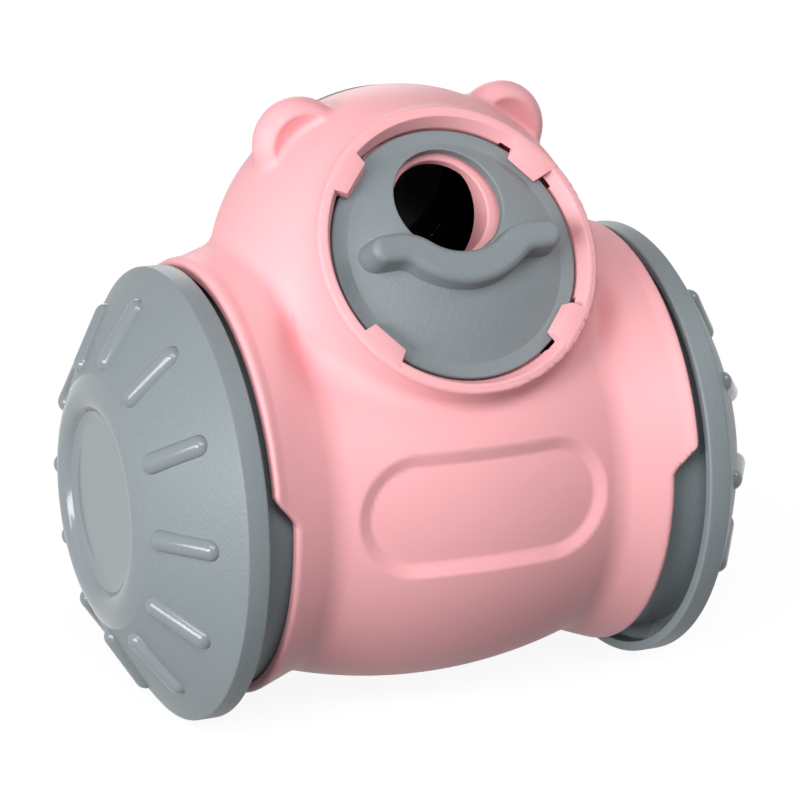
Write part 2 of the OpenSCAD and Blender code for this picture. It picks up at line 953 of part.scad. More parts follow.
// Small plate between the rim and the back of the coned face, in the plane of X and Y.
module gusset() {
  inner_r = wheel_r - wheel_wall / 2;
  slope = cone_h / (wheel_r - hub_ring_d / 2);
  face_x = rim_x + rim_w - wheel_wall / 2;
  translate([0, 0, -gusset_t / 2])
    linear_extrude(height = gusset_t)
      polygon([
        [rim_x + over, inner_r],
        [face_x, inner_r],
        [face_x + gusset_in * slope, inner_r - gusset_in],
        [face_x + gusset_in * slope - gusset_low, inner_r - gusset_in]
      ]);
}

// Right-hand wheel; the left one is its mirror image.
module wheel() {
  pocket_r = washer_d / 2 + side_play;
  translate([0, 0, axle_z])
    difference() {
      union() {
        difference() {
          union() {
            rotate([90, 0, 90])
              rotate_extrude() {
                wheel_outline();
                ring_bead();
              }
            for (i = [0:rib_count - 1])
              rotate([i * 360 / rib_count, 0, 0])
                wheel_rib();
          }
          rotate([90, 0, 90])
            rotate_extrude()
              wheel_hollow();
        }
        rotate([0, 90, 0])
          translate([0, 0, wheel_boss_x])
            cylinder(h = cap_x - wheel_boss_x - wheel_wall / 2, r = pocket_r + wheel_wall);
        for (i = [0:gusset_count - 1])
          rotate([(i + 0.5) * 360 / gusset_count, 0, 0])
            gusset();
      }
      rotate([0, 90, 0]) {
        translate([0, 0, cap_x])
          cylinder(h = hub_x, r = hub_dish_d / 2);
        translate([0, 0, seat_x])
          cylinder(h = hub_x, r = pocket_r);
        translate([0, 0, wheel_boss_x - over])
          cylinder(h = hub_x, r = bush_r + seat_clear);
      }
    }
}

module right_wheel() {
  color(grey)
    wheel();
}

module left_wheel() {
  color(grey)
    mirror([1, 0, 0])
      wheel();
}

module hub_cap() {
  rod_x(cap_x, cap_t, hub_dish_d / 2 - seat_clear);
}

module right_hub_cap() {
  color(grey)
    hub_cap();
}

module left_hub_cap() {
  color(grey)
    mirror([1, 0, 0])
      hub_cap();
}

module axle() {
  difference() {
    union() {
      rod_x(boss_in_x, axle_end_x - boss_in_x, axle_d / 2);
      rod_x(collar_x, axle_collar_t, axle_collar_d / 2);
    }
    rod_x(axle_end_x - axle_screw_len - over, axle_screw_len + 2 * over, axle_screw_d / 2 + seat_clear);
  }
}

module right_axle() {
  color(steel)
    axle();
}

module left_axle() {
  color(steel)
    mirror([1, 0, 0])
      axle();
}

module bush() {
  difference() {
    rod_x(wheel_boss_x, seat_x - wheel_boss_x, bush_r);
    rod_x(wheel_boss_x - over, seat_x - wheel_boss_x + 2 * over, axle_d / 2 + run_clear);
  }
}

module right_bush() {
  color(acetal)
    bush();
}

module left_bush() {
  color(acetal)
    mirror([1, 0, 0])
      bush();
}

module washer() {
  difference() {
    rod_x(axle_end_x, washer_t, washer_d / 2);
    rod_x(axle_end_x - over, washer_t + 2 * over, axle_screw_d / 2 + seat_clear);
  }
}

module right_washer() {
  color(steel)
    washer();
}

module left_washer() {
  color(steel)
    mirror([1, 0, 0])
      washer();
}

module axle_screw() {
  rod_x(axle_end_x - axle_screw_len, axle_screw_len + washer_t + fine, axle_screw_d / 2);
  rod_x(axle_end_x + washer_t, axle_head_h, axle_head_d / 2);
}

module right_axle_screw() {
  color(steel)
    axle_screw();
}

module left_axle_screw() {
  color(steel)
    mirror([1, 0, 0])
      axle_screw();
}

// Space inside the belly that a loose piece may fill.
module belly_space() {
  about_axle(body_z)
    intersection() {
      translate([belly_r - belly_arc, 0])
        circle(r = belly_arc - shell_wall - weight_gap, $fn = 200);
      translate([0, -wall_x])
        square([belly_r, 2 * wall_x]);
    }
}

module counterweight() {
  color(iron)
    difference() {
      intersection() {
        belly_space();
        translate([-weight_len / 2, -weight_dep / 2, 0])
          cube([weight_len, weight_dep, weight_z]);
      }
      at_cover_screws()
        translate([0, 0, -axle_z])
          cylinder(h = 2 * axle_z, r = screw_d / 2 + screw_boss_wall + weight_gap);
    }
}

module weight_cover() {
  color(acetal)
    difference() {
      intersection() {
        belly_space();
        translate([-weight_len / 2 - cover_over, -weight_dep / 2 - cover_over, cover_z])
          cube([weight_len + 2 * cover_over, weight_dep + 2 * cover_over, cover_t]);
      }
      at_cover_screws()
        translate([0, 0, -over])
          cylinder(h = cover_t + 2 * over, r = screw_d / 2 + seat_clear);
    }
}

module cover_screws() {
  color(steel)
    at_cover_screws() {
      translate([0, 0, -cover_bite])
        cylinder(h = cover_bite + cover_t + fine, r = screw_d / 2);
      translate([0, 0, cover_t])
        cylinder(h = screw_head_h, r = screw_head_d / 2);
    }
}

module shell_screws() {
  color(steel)
    at_shell_screws() {
      translate([0, 0, -screw_bite])
        cylinder(h = screw_bite + screw_back + fine, r = screw_d / 2);
      translate([0, 0, screw_back])
        cylinder(h = screw_head_h, r = screw_head_d / 2);
    }
}

front_shell();
rear_shell();
front_dial();
rear_lid();
left_wheel();
right_wheel();
left_hub_cap();
right_hub_cap();
left_axle();
right_axle();
left_bush();
right_bush();
left_washer();
right_washer();
left_axle_screw();
right_axle_screw();
counterweight();
weight_cover();
cover_screws();
shell_screws();
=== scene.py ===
import math
import bmesh
import bpy
import numpy as np
from mathutils import Matrix, Vector


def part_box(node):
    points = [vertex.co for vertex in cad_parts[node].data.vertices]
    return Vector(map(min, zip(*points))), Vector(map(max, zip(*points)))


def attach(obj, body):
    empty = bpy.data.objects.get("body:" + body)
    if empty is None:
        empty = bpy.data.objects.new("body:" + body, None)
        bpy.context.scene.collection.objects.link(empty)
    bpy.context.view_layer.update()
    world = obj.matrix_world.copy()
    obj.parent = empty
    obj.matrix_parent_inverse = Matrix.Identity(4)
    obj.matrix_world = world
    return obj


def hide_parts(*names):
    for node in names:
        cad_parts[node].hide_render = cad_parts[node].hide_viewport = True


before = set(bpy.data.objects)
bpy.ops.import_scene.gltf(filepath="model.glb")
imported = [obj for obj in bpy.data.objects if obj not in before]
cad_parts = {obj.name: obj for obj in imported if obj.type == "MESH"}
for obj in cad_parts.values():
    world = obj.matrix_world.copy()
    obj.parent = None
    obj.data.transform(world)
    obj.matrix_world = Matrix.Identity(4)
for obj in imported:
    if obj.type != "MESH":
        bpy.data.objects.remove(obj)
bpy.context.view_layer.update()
mm = 0.001
scene = bpy.context.scene
print("frame loaded,", len(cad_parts), "solids")


# colours and finishes

def fromScreen(red, green, blue):
    # screen value 0-255 to the linear value a shader takes
    out = []
    for v in (red, green, blue):
        v = v / 255
        out.append(v / 12.92 if v <= 0.04045 else ((v + 0.055) / 1.055) ** 2.4)
    return out + [1.0]


def scaled(colour, by):
    return [min(1.0, c * by) for c in colour[:3]] + [1.0]


noise = dict(grainDetail=3.0, grainRough=0.55, cloudDetail=2.0, polishLow=0.3, polishHigh=0.7,
             softDepth=(0.004, 0.002, 0.002))


def setInputs(tree, node, values):
    # each input takes its value, or a link where a socket is given
    for key, value in values.items():
        if isinstance(value, bpy.types.NodeSocket):
            tree.links.new(value, node.inputs[key])
        else:
            node.inputs[key].default_value = value


def addNode(tree, kind, values=None, **options):
    node = tree.nodes.new(kind)
    for key, value in options.items():
        setattr(node, key, value)
    setInputs(tree, node, values or {})
    return node


def moulded(name, look):
    mat = bpy.data.materials.new(name)
    mat.use_nodes = True
    tree = mat.node_tree
    place = addNode(tree, "ShaderNodeTexCoord").outputs["Object"]
    # mould texture
    grain = addNode(tree, "ShaderNodeTexNoise", {
        "Vector": place, "Scale": look["grain"], "Detail": noise["grainDetail"],
        "Roughness": noise["grainRough"]}).outputs["Fac"]
    # slow change of tone over the piece
    cloud = addNode(tree, "ShaderNodeTexNoise", {
        "Vector": place, "Scale": look["cloud"], "Detail": noise["cloudDetail"]}).outputs["Fac"]
    rest = addNode(tree, "ShaderNodeMath", {0: cloud, 1: 1 - look["speckle"]}, operation="MULTIPLY")
    both = addNode(tree, "ShaderNodeMath", {0: grain, 1: look["speckle"], 2: rest.outputs[0]},
                   operation="MULTIPLY_ADD")
    tone = addNode(tree, "ShaderNodeMix", {
        0: both.outputs[0], 6: scaled(look["colour"], 1 - look["tint"]),
        7: scaled(look["colour"], 1 + look["tint"])}, data_type="RGBA")
    polish = addNode(tree, "ShaderNodeMapRange", {
        "Value": cloud if look.get("smear") else grain,
        "From Min": noise["polishLow"], "From Max": noise["polishHigh"],
        "To Min": look["rough"] - look["roughSpread"], "To Max": look["rough"] + look["roughSpread"]})
    bump = addNode(tree, "ShaderNodeBump", {
        "Height": grain, "Strength": look["bump"], "Distance": look["bumpDeep"]})
    setInputs(tree, tree.nodes["Principled BSDF"], {
        "Base Color": tone.outputs[2], "Roughness": polish.outputs["Result"],
        "Normal": bump.outputs["Normal"], "Metallic": look.get("metal", 0.0),
        "Specular IOR Level": look.get("gloss", 0.5), "Subsurface Weight": look.get("soft", 0.0),
        "Subsurface Radius": noise["softDepth"]})
    return mat


finishes = {
    "pinkPlastic": dict(colour=fromScreen(246, 178, 183), rough=0.46, roughSpread=0.03, grain=1500, cloud=24,
                        tint=0.02, speckle=0.4, bump=0.10, bumpDeep=0.00004, smear=True, gloss=0.25),
    # painted shade: near-black for the inside of the pink shells, which is dark only because little light
    # gets in
    "paintedShadeChamber": dict(colour=fromScreen(34, 29, 30), rough=0.60, roughSpread=0.05, grain=900, cloud=24,
                        tint=0.06, speckle=0.5, bump=0.10, bumpDeep=0.00004, gloss=0.2),
    "greyGrain": dict(colour=fromScreen(128, 137, 141), rough=0.44, roughSpread=0.06, grain=1500, cloud=30,
                      tint=0.10, speckle=0.8, bump=0.50, bumpDeep=0.0002, gloss=0.35),
    "greyGloss": dict(colour=fromScreen(128, 137, 141), rough=0.15, roughSpread=0.04, grain=1200, cloud=36,
                      tint=0.02, speckle=0.3, bump=0.06, bumpDeep=0.00003, smear=True),
    "brightSteel": dict(colour=fromScreen(196, 198, 200), metal=1.0, rough=0.28, roughSpread=0.08, grain=900,
                        cloud=60, tint=0.06, speckle=0.5, bump=0.08, bumpDeep=0.00003),
    "castIron": dict(colour=fromScreen(84, 86, 88), metal=0.8, rough=0.58, roughSpread=0.12, grain=420,
                     cloud=80, tint=0.15, speckle=0.6, bump=0.35, bumpDeep=0.0003),
    "bushAcetal": dict(colour=fromScreen(232, 229, 220), rough=0.34, roughSpread=0.05, grain=1100, cloud=40,
                       tint=0.02, speckle=0.4, bump=0.05, bumpDeep=0.00003, soft=0.1),
}
finish = {name: moulded(name, look) for name, look in finishes.items()}
print("finishes made,", len(finish))


# mesh helpers, all lengths in millimetres until the mesh is made

def addPiece(name, points, faces, materials, sharp=30, outward=True):
    mesh = bpy.data.meshes.new(name)
    mesh.from_pydata((np.asarray(points, dtype=float) * mm).tolist(), [], [tuple(f) for f in faces])
    if outward:
        work = bmesh.new()
        work.from_mesh(mesh)
        bmesh.ops.remove_doubles(work, verts=work.verts, dist=1e-6)
        bmesh.ops.recalc_face_normals(work, faces=work.faces)
        work.to_mesh(mesh)
        work.free()
    for m in materials if isinstance(materials, (list, tuple)) else [materials]:
        mesh.materials.append(m)
    mesh.shade_smooth()
    if sharp:
        mesh.set_sharp_from_angle(angle=math.radians(sharp))
    obj = bpy.data.objects.new(name, mesh)
    scene.collection.objects.link(obj)
    return obj


def rounded(corners, seg=6, loop=False):
    # corners are (r, h, radius of the round)
    out = []
    count = len(corners)
    for i, (r, h, radius) in enumerate(corners):
        if radius <= 0 or (not loop and i in (0, count - 1)):
            out.append((r, h))
            continue
        p = Vector((r, h))
        back = Vector(corners[i - 1][:2]) - p
        on = Vector(corners[(i + 1) % count][:2]) - p
        half = back.angle(on) / 2
        cut = min(radius / math.tan(half), 0.49 * back.length, 0.49 * on.length)
        back.normalize()
        on.normalize()
        middle = p + (back + on).normalized() * (cut / math.cos(half))
        first, last = p + back * cut - middle, p + on * cut - middle
        start = math.atan2(first.y, first.x)
        sweep = math.atan2(last.y, last.x) - start
        sweep = (sweep + math.pi) % (2 * math.pi) - math.pi
        for k in range(seg + 1):
            a = start + sweep * k / seg
            out.append((middle.x + first.length * math.cos(a), middle.y + first.length * math.sin(a)))
    return out


def turned(profile, steps=160, loop=False):
    # profile (r, h) spun about local z; a point on the axis becomes a pole
    points, rows, faces = [], [], []
    for r, h in profile:
        if r < 1e-6:
            rows.append([len(points)] * steps)
            points.append((0, 0, h))
            continue
        rows.append(list(range(len(points), len(points) + steps)))
        for i in range(steps):
            a = 2 * math.pi * i / steps
            points.append((r * math.cos(a), r * math.sin(a), h))
    pairs = list(zip(rows, rows[1:])) + ([(rows[-1], rows[0])] if loop else [])
    for low, high in pairs:
        for i in range(steps):
            j = (i + 1) % steps
            f = [low[i], low[j], high[j], high[i]]
            f = [v for k, v in enumerate(f) if v not in f[:k]]
            if len(f) > 2:
                faces.append(f)
    return points, faces


def loops(rings):
    # closed skin through rings of equal length, the last joined to the first
    steps = len(rings[0])
    points = [p for ring in rings for p in ring]
    faces = []
    for k in range(len(rings)):
        a, b = k * steps, ((k + 1) % len(rings)) * steps
        for i in range(steps):
            j = (i + 1) % steps
            faces.append((a + i, a + j, b + j, b + i))
    return points, faces


def moved(obj, matrix):
    # place goes into the mesh, in metres, and the object stays at the origin
    place = matrix.copy()
    place.translation = place.translation * mm
    obj.data.transform(place)
    if place.determinant() < 0:
        obj.data.flip_normals()
    obj.data.update()
    return obj


# frames of the face, the back and the wheels, from the drawing
lay = dict(axleZ=48.0, bodyZ=49.2, headZ=89.7, faceTilt=30, faceOut=29.2, faceDrop=4.5, lidOut=31.3)
tilt = Matrix.Rotation(math.radians(90 - lay["faceTilt"]), 4, "X")
toHead = Matrix.Translation((0, 0, lay["headZ"]))
faceAt = toHead @ tilt @ Matrix.Translation((0, -lay["faceDrop"], lay["faceOut"]))
backAt = Matrix.Rotation(math.pi, 4, "Z") @ toHead @ tilt @ Matrix.Translation((0, 0, lay["lidOut"]))


def wheelAt(side):
    # local x to the front, y up, z outwards along the axle
    return Matrix(((0, 0, side, 0), (-1, 0, 0, 0), (0, 1, 0, lay["axleZ"]), (0, 0, 0, 1)))


# node trees for what repeats

def startTree(name, sizes):
    # takes a shape, its named sizes and a finish, and gives a shape
    tree = bpy.data.node_groups.new(name, "GeometryNodeTree")
    for label, kind in [("Geometry", "Geometry")] + sizes + [("Finish", "Material")]:
        tree.interface.new_socket(label, in_out="INPUT", socket_type="NodeSocket" + kind)
    tree.interface.new_socket("Geometry", in_out="OUTPUT", socket_type="NodeSocketGeometry")
    return tree, tree.nodes.new("NodeGroupInput"), tree.nodes.new("NodeGroupOutput")


def closeTree(tree, take, give, copies):
    # the copies become real geometry with their finish
    real = addNode(tree, "GeometryNodeRealizeInstances", {0: copies})
    paint = addNode(tree, "GeometryNodeSetMaterial", {
        "Geometry": real.outputs[0], "Material": take.outputs["Finish"]})
    setInputs(tree, give, {0: paint.outputs[0]})
    return tree


def turnAboutZ(tree, angle):
    spin = addNode(tree, "ShaderNodeCombineXYZ", {"Z": angle})
    return addNode(tree, "FunctionNodeEulerToRotation", {0: spin.outputs[0]}).outputs[0]


def ringTree():
    # copies of the incoming shape round local z
    tree, take, give = startTree("ringOfCopies", [("Count", "Int"), ("First Angle", "Float")])
    count = take.outputs["Count"]
    dots = addNode(tree, "GeometryNodePoints", {"Count": count})
    number = addNode(tree, "GeometryNodeInputIndex")
    step = addNode(tree, "ShaderNodeMath", {0: 2 * math.pi, 1: count}, operation="DIVIDE")
    turn = addNode(tree, "ShaderNodeMath", {
        0: number.outputs[0], 1: step.outputs[0], 2: take.outputs["First Angle"]}, operation="MULTIPLY_ADD")
    copies = addNode(tree, "GeometryNodeInstanceOnPoints", {
        "Points": dots.outputs[0], "Instance": take.outputs["Geometry"],
        "Rotation": turnAboutZ(tree, turn.outputs[0])})
    return closeTree(tree, take, give, copies.outputs[0])


def pairTree():
    # four copies at plus and minus an angle, and the same across the middle
    tree, take, give = startTree("fourCopies", [("Angle", "Float")])
    together = addNode(tree, "GeometryNodeJoinGeometry")
    for base, sign in ((0, 1), (0, -1), (math.pi, 1), (math.pi, -1)):
        turn = addNode(tree, "ShaderNodeMath", {0: take.outputs["Angle"], 1: sign, 2: base},
                       operation="MULTIPLY_ADD")
        copy = addNode(tree, "GeometryNodeTransform", {
            "Geometry": take.outputs["Geometry"], "Rotation": turnAboutZ(tree, turn.outputs[0])})
        setInputs(tree, together, {0: copy.outputs[0]})
    return closeTree(tree, take, give, together.outputs[0])


def spotTree():
    # a copy of the incoming shape at each of four mirrored spots
    spots = ("High Spot", "Low Spot")
    tree, take, give = startTree("copiesAtSpots", [(spot, "Vector") for spot in spots])
    together = addNode(tree, "GeometryNodeJoinGeometry")
    for spot in spots:
        for sign in (1, -1):
            flip = addNode(tree, "ShaderNodeVectorMath", {0: take.outputs[spot], 1: (sign, 1, 1)},
                           operation="MULTIPLY")
            copy = addNode(tree, "GeometryNodeTransform", {
                "Geometry": take.outputs["Geometry"], "Translation": flip.outputs[0]})
            setInputs(tree, together, {0: copy.outputs[0]})
    return closeTree(tree, take, give, together.outputs[0])


def grown(obj, tree, values):
    # runs a node tree on the piece and keeps the result as a plain mesh
    mod = obj.modifiers.new(tree.name, "NODES")
    mod.node_group = tree
    for item in tree.interface.items_tree:
        if item.item_type == "SOCKET" and item.in_out == "INPUT" and item.name in values:
            mod[item.identifier] = values[item.name]
    bpy.context.view_layer.update()
    graph = bpy.context.evaluated_depsgraph_get()
    shape = obj.evaluated_get(graph)
    mesh = bpy.data.meshes.new_from_object(shape, preserve_all_data_layers=True, depsgraph=graph)
    obj.modifiers.remove(mod)
    mesh.name = obj.name
    obj.data = mesh
    return obj


def carved(obj, tool, sharp):
    # takes the tool's shape out of the piece, and then the tool away
    cut = obj.modifiers.new("cut", "BOOLEAN")
    cut.operation = "DIFFERENCE"
    cut.solver = "EXACT"
    cut.object = tool
    bpy.context.view_layer.update()
    graph = bpy.context.evaluated_depsgraph_get()
    obj.data = bpy.data.meshes.new_from_object(obj.evaluated_get(graph), depsgraph=graph)
    obj.modifiers.clear()
    bpy.data.objects.remove(tool)
    obj.data.shade_smooth()
    obj.data.set_sharp_from_angle(angle=math.radians(sharp))
    return obj


ring, fourCopies, atSpots = ringTree(), pairTree(), spotTree()
print("node trees built")


# camera at the photograph's angle

camera = dict(place=(-0.2925, -0.6385, 0.2532), down=15.21, round=-24.62, lens=151.85, sensor=36)
eye = bpy.data.objects.new("camera", bpy.data.cameras.new("camera"))
scene.collection.objects.link(eye)
eye.location = camera["place"]
eye.rotation_euler = (math.radians(90 - camera["down"]), 0, math.radians(camera["round"]))
eye.data.lens = camera["lens"]
eye.data.sensor_width = camera["sensor"]
scene.camera = eye


# body shells: one smooth outside shape with sharp cuts, skinned on a fine grid

shell = dict(
    # torso, skirts and the notch in their edge
    bellyX=32.2, bellyR=46.4, waistR=41.4, bellyArc=106.2, skirtSlope=20.2, skirtX=48.0, creaseSoft=1.8,
    torsoScale=0.95, cutIn=43.2, cutLow=52.0, cutHigh=58.4, edgeSoft=1.3, edgeScale=0.8,
    # recessed panel on the belly
    panelA=15.2, panelR=11.7, panelUp=50.0, panelDeep=1.7, panelEdge=1.45, panelRound=0.14,
    # shoulders
    shoulderX=38.4, shoulderZ=75.28, shoulderDrop=2.588, shoulderR=25.04, shoulderGrow=2.198,
    shoulderSoft=3.2, shoulderFull=0.24, fullFrom=45.0, fullOver=10.0,
    # head and ears
    headR=41.0, headSoft=2.0, headBlend=3.5, blendFrom=18.0, blendOver=12.0,
    earX=23.4, earZ=120.3, earR=9.9, earT=9.6, earSoft=1.5, scoopR=12.12, scoopY=-14.32, scoopSoft=0.5,
    # collar and dial well
    collarR=31.0, collarH=2.9, collarSoft=1.8, collarEdge=1.2, collarFlare=0.2, flareTop=1.0,
    collarScale=0.98, collarDeep=24.0, lipSoft=0.5, lipReach=0.6, lipFar=-9.0,
    wellR=29.3, wellDeep=-7.0, floorLow=-4.7,
    # lid seat and neck
    lidSeatR=27.5, lidSeat=-7.0, seatWall=2.6, neckBore=21.1, neckDeep=-14.0, backFloor=-9.2,
    # walls, bosses and wells
    wall=2.2, endX=36.5, wallX=34.0, bossR=9.5, bossIn=30.25, bossOut=43.5, axleHole=4.06, axleIn=1.0,
    screwBoss=4.8, screwWell=3.2, screwBack=10.0, highScrew=(33.0, 72.0), lowScrew=(27.0, 19.0))
# grid of the skin, its box, and how far its points are pulled onto an edge, in grid steps
net = dict(grid=0.78, sideX=49.7, sideY=49.3, seamY=1.1, low=-0.6, high=132.6,
           turns=5, near=0.62, apart=0.12, reach=0.9, stride=0.5, thin=0.3)
# places in the list of cuts whose faces get painted shade: a near-black finish on the inside of the chamber
# and the neck bore, where only shade falls
paintedShadeCuts = dict(chamber=1, neck=7)


def softMin(a, b, k):
    h = np.clip(0.5 + 0.5 * (b - a) / k, 0, 1)
    return b + (a - b) * h - k * h * (1 - h)


def softMax(a, b, k):
    return -softMin(-a, -b, k)


def easing(t):
    t = np.clip(t, 0, 1)
    return 0.5 * t + 0.5 * t * t * (3 - 2 * t)


faceBack = np.array(faceAt.inverted())
backBack = np.array(backAt.inverted())


def inFrame(inverse, x, y, z):
    return [inverse[i, 0] * x + inverse[i, 1] * y + inverse[i, 2] * z + inverse[i, 3] for i in range(3)]


def shellCuts(points, half):
    # distance to the outside shape, then to each sharp cut: the solid is where all are below zero
    s = shell
    x, y, z = points[:, 0], points[:, 1], points[:, 2]
    ax = np.abs(x)
    rho = np.hypot(y, z - lay["bodyZ"])
    belly = np.sqrt(np.maximum(s["bellyArc"] ** 2 - ax ** 2, 1)) - (s["bellyArc"] - s["bellyR"])
    skirt = s["waistR"] + (ax - s["bellyX"]) * math.tan(math.radians(s["skirtSlope"]))
    pill = np.hypot(np.maximum(ax - s["panelA"], 0), z - s["panelUp"]) - s["panelR"]
    ramp = (s["panelEdge"] - pill) / (2 * s["panelEdge"])
    ramp = softMin(ramp, np.ones_like(ramp), s["panelRound"])
    ramp = softMax(ramp, np.zeros_like(ramp), s["panelRound"])
    recess = s["panelDeep"] * ramp * (y < 0)
    torso = (rho - softMax(belly, skirt, s["creaseSoft"]) + recess) * s["torsoScale"]

    out = ax - s["shoulderX"]
    midZ = s["shoulderZ"] - s["shoulderDrop"] * out
    # wider to the front and back
    fuller = 1 - s["shoulderFull"] * np.clip((s["fullFrom"] - ax) / s["fullOver"], 0, 1)
    far = np.hypot(y * fuller, z - midZ)
    lean = s["shoulderDrop"] * (z - midZ) / np.maximum(far, 1e-6) - s["shoulderGrow"]
    shoulder = (far - s["shoulderR"] - s["shoulderGrow"] * out) / np.sqrt(1 + lean * lean)
    outside = softMin(torso, shoulder, s["shoulderSoft"])

    head = np.sqrt(x * x + y * y + (z - lay["headZ"]) ** 2) - s["headR"]
    # the head's foot is softer at the front and back than over the shoulders
    foot = s["headSoft"] + s["headBlend"] * np.clip((np.abs(y) - s["blendFrom"]) / s["blendOver"], 0, 1)
    outside = softMin(outside, head, foot)

    fromEar = np.hypot(ax - s["earX"], z - s["earZ"])
    thick = s["earT"] / 2
    ear = np.hypot(np.maximum(fromEar - (s["earR"] - thick), 0), y) - thick
    bowl = s["scoopR"] - np.sqrt(fromEar ** 2 + (y - s["scoopY"]) ** 2)
    ear = softMax(ear, bowl, s["scoopSoft"])
    outside = softMin(outside, ear, s["earSoft"])

    fa, fb, fc = inFrame(faceBack, x, y, z)
    faceR = np.hypot(fa, fb)
    flank = s["collarR"] + s["collarFlare"] * np.maximum(s["flareTop"] - fc, 0)
    collar = softMax((faceR - flank) * s["collarScale"], fc - s["collarH"], s["collarEdge"])
    collar = np.maximum(collar, -fc - s["collarDeep"])
    outside = softMin(outside, collar, s["collarSoft"])
    # the head stays below the collar's flat lip
    lip = np.where(faceR < s["collarR"] + s["lipReach"], fc - s["collarH"], s["lipFar"])
    outside = softMax(outside, lip, s["lipSoft"])

    edge = s["cutIn"] + (s["skirtX"] - s["cutIn"]) * easing((z - s["cutLow"]) / (s["cutHigh"] - s["cutLow"]))
    outside = softMax(outside, (ax - edge) * s["edgeScale"], s["edgeSoft"])

    # bosses for screws and axles stay when the inside is cut away
    boss = np.maximum(np.hypot(y, z - lay["axleZ"]) - s["bossR"],
                      np.maximum(s["bossIn"] - ax, ax - s["bossOut"]))
    wells = np.full_like(x, 99.0)
    for sx, sz in (s["highScrew"], s["lowScrew"]):
        off = np.hypot(ax - sx, z - sz)
        boss = np.minimum(boss, off - s["screwBoss"])
        wells = np.minimum(wells, off - s["screwWell"])
    wells = np.maximum(wells, s["screwBack"] - y)

    ra, rb, rc = inFrame(backBack, x, y, z)
    backR = np.hypot(ra, rb)
    inside = np.maximum(rho - belly + recess + s["wall"], ax - s["wallX"])
    inside = np.minimum(inside, head + s["wall"])
    inside = np.minimum(inside, np.maximum(faceR - s["collarR"] + s["wall"], -fc - s["collarDeep"]))
    inside = np.maximum(inside, -np.maximum(faceR - s["collarR"], s["floorLow"] - fc))
    inside = np.maximum(inside, -np.maximum(backR - s["lidSeatR"] - s["seatWall"], s["backFloor"] - rc))
    inside = np.maximum(inside, -boss)

    skirtIn = s["waistR"] - s["wall"] + (ax - s["bellyX"]) * math.tan(math.radians(s["skirtSlope"]))
    hollow = np.maximum(np.maximum(rho - skirtIn, s["endX"] - ax), -boss)
    axle = np.maximum(np.hypot(y, z - lay["axleZ"]) - s["axleHole"], s["bossIn"] - s["axleIn"] - ax)
    cuts = [outside, -inside, -hollow, -axle, half * -y]
    if half < 0:
        cuts.append(-np.maximum(faceR - s["wellR"], s["wellDeep"] - fc))
    else:
        cuts.append(-wells)
        cuts.append(-np.maximum(backR - s["lidSeatR"], s["lidSeat"] - rc))
        cuts.append(-np.maximum(backR - s["neckBore"], s["neckDeep"] - rc))
    return np.array(cuts)


def slopes(points, half, reach=0.02):
    grads = []
    for axis in range(3):
        step = np.zeros(3)
        step[axis] = reach
        grads.append((shellCuts(points + step, half) - shellCuts(points - step, half)) / (2 * reach))
    return np.stack(grads, axis=-1)      # cut, point, axis


def netOfGrid(values, origin, step):
    inside = values < 0
    nx, ny, nz = values.shape
    total = np.zeros((nx - 1, ny - 1, nz - 1), dtype=np.int8)
    corners = [(i, j, k) for i in (0, 1) for j in (0, 1) for k in (0, 1)]
    for i, j, k in corners:
        total += inside[i:nx - 1 + i, j:ny - 1 + j, k:nz - 1 + k]
    live = (total > 0) & (total < 8)
    number = np.full(live.shape, -1, dtype=np.int64)
    cell = np.array(np.nonzero(live)).T
    number[live] = np.arange(len(cell))
    total3 = np.zeros((len(cell), 3))
    hits = np.zeros(len(cell))
    for a in corners:
        for axis in range(3):
            if a[axis]:
                continue
            b = list(a)
            b[axis] = 1
            va = values[cell[:, 0] + a[0], cell[:, 1] + a[1], cell[:, 2] + a[2]]
            vb = values[cell[:, 0] + b[0], cell[:, 1] + b[1], cell[:, 2] + b[2]]
            cross = (va < 0) != (vb < 0)
            t = va[cross] / (va[cross] - vb[cross])
            p = np.tile(np.array(a, dtype=float), (len(t), 1))
            p[:, axis] = t
            total3[cross] += p
            hits[cross] += 1
    points = origin + step * (cell + total3 / hits[:, None])
    faces = []
    for axis in range(3):
        u, v = (axis + 1) % 3, (axis + 2) % 3
        low = [slice(None)] * 3
        high = [slice(None)] * 3
        low[axis], high[axis] = slice(None, -1), slice(1, None)
        change = inside[tuple(low)] != inside[tuple(high)]
        at = np.array(np.nonzero(change)).T
        inU = (at[:, u] > 0) & (at[:, u] < values.shape[u] - 1)
        inV = (at[:, v] > 0) & (at[:, v] < values.shape[v] - 1)
        at = at[inU & inV]
        quad = []
        for du, dv in ((-1, -1), (0, -1), (0, 0), (-1, 0)):
            c = at.copy()
            c[:, u] += du
            c[:, v] += dv
            quad.append(number[c[:, 0], c[:, 1], c[:, 2]])
        quad = np.stack(quad, axis=1)
        outwards = inside[at[:, 0], at[:, 1], at[:, 2]]
        quad[~outwards] = quad[~outwards][:, ::-1]
        faces.append(quad)
    return points, np.concatenate(faces)


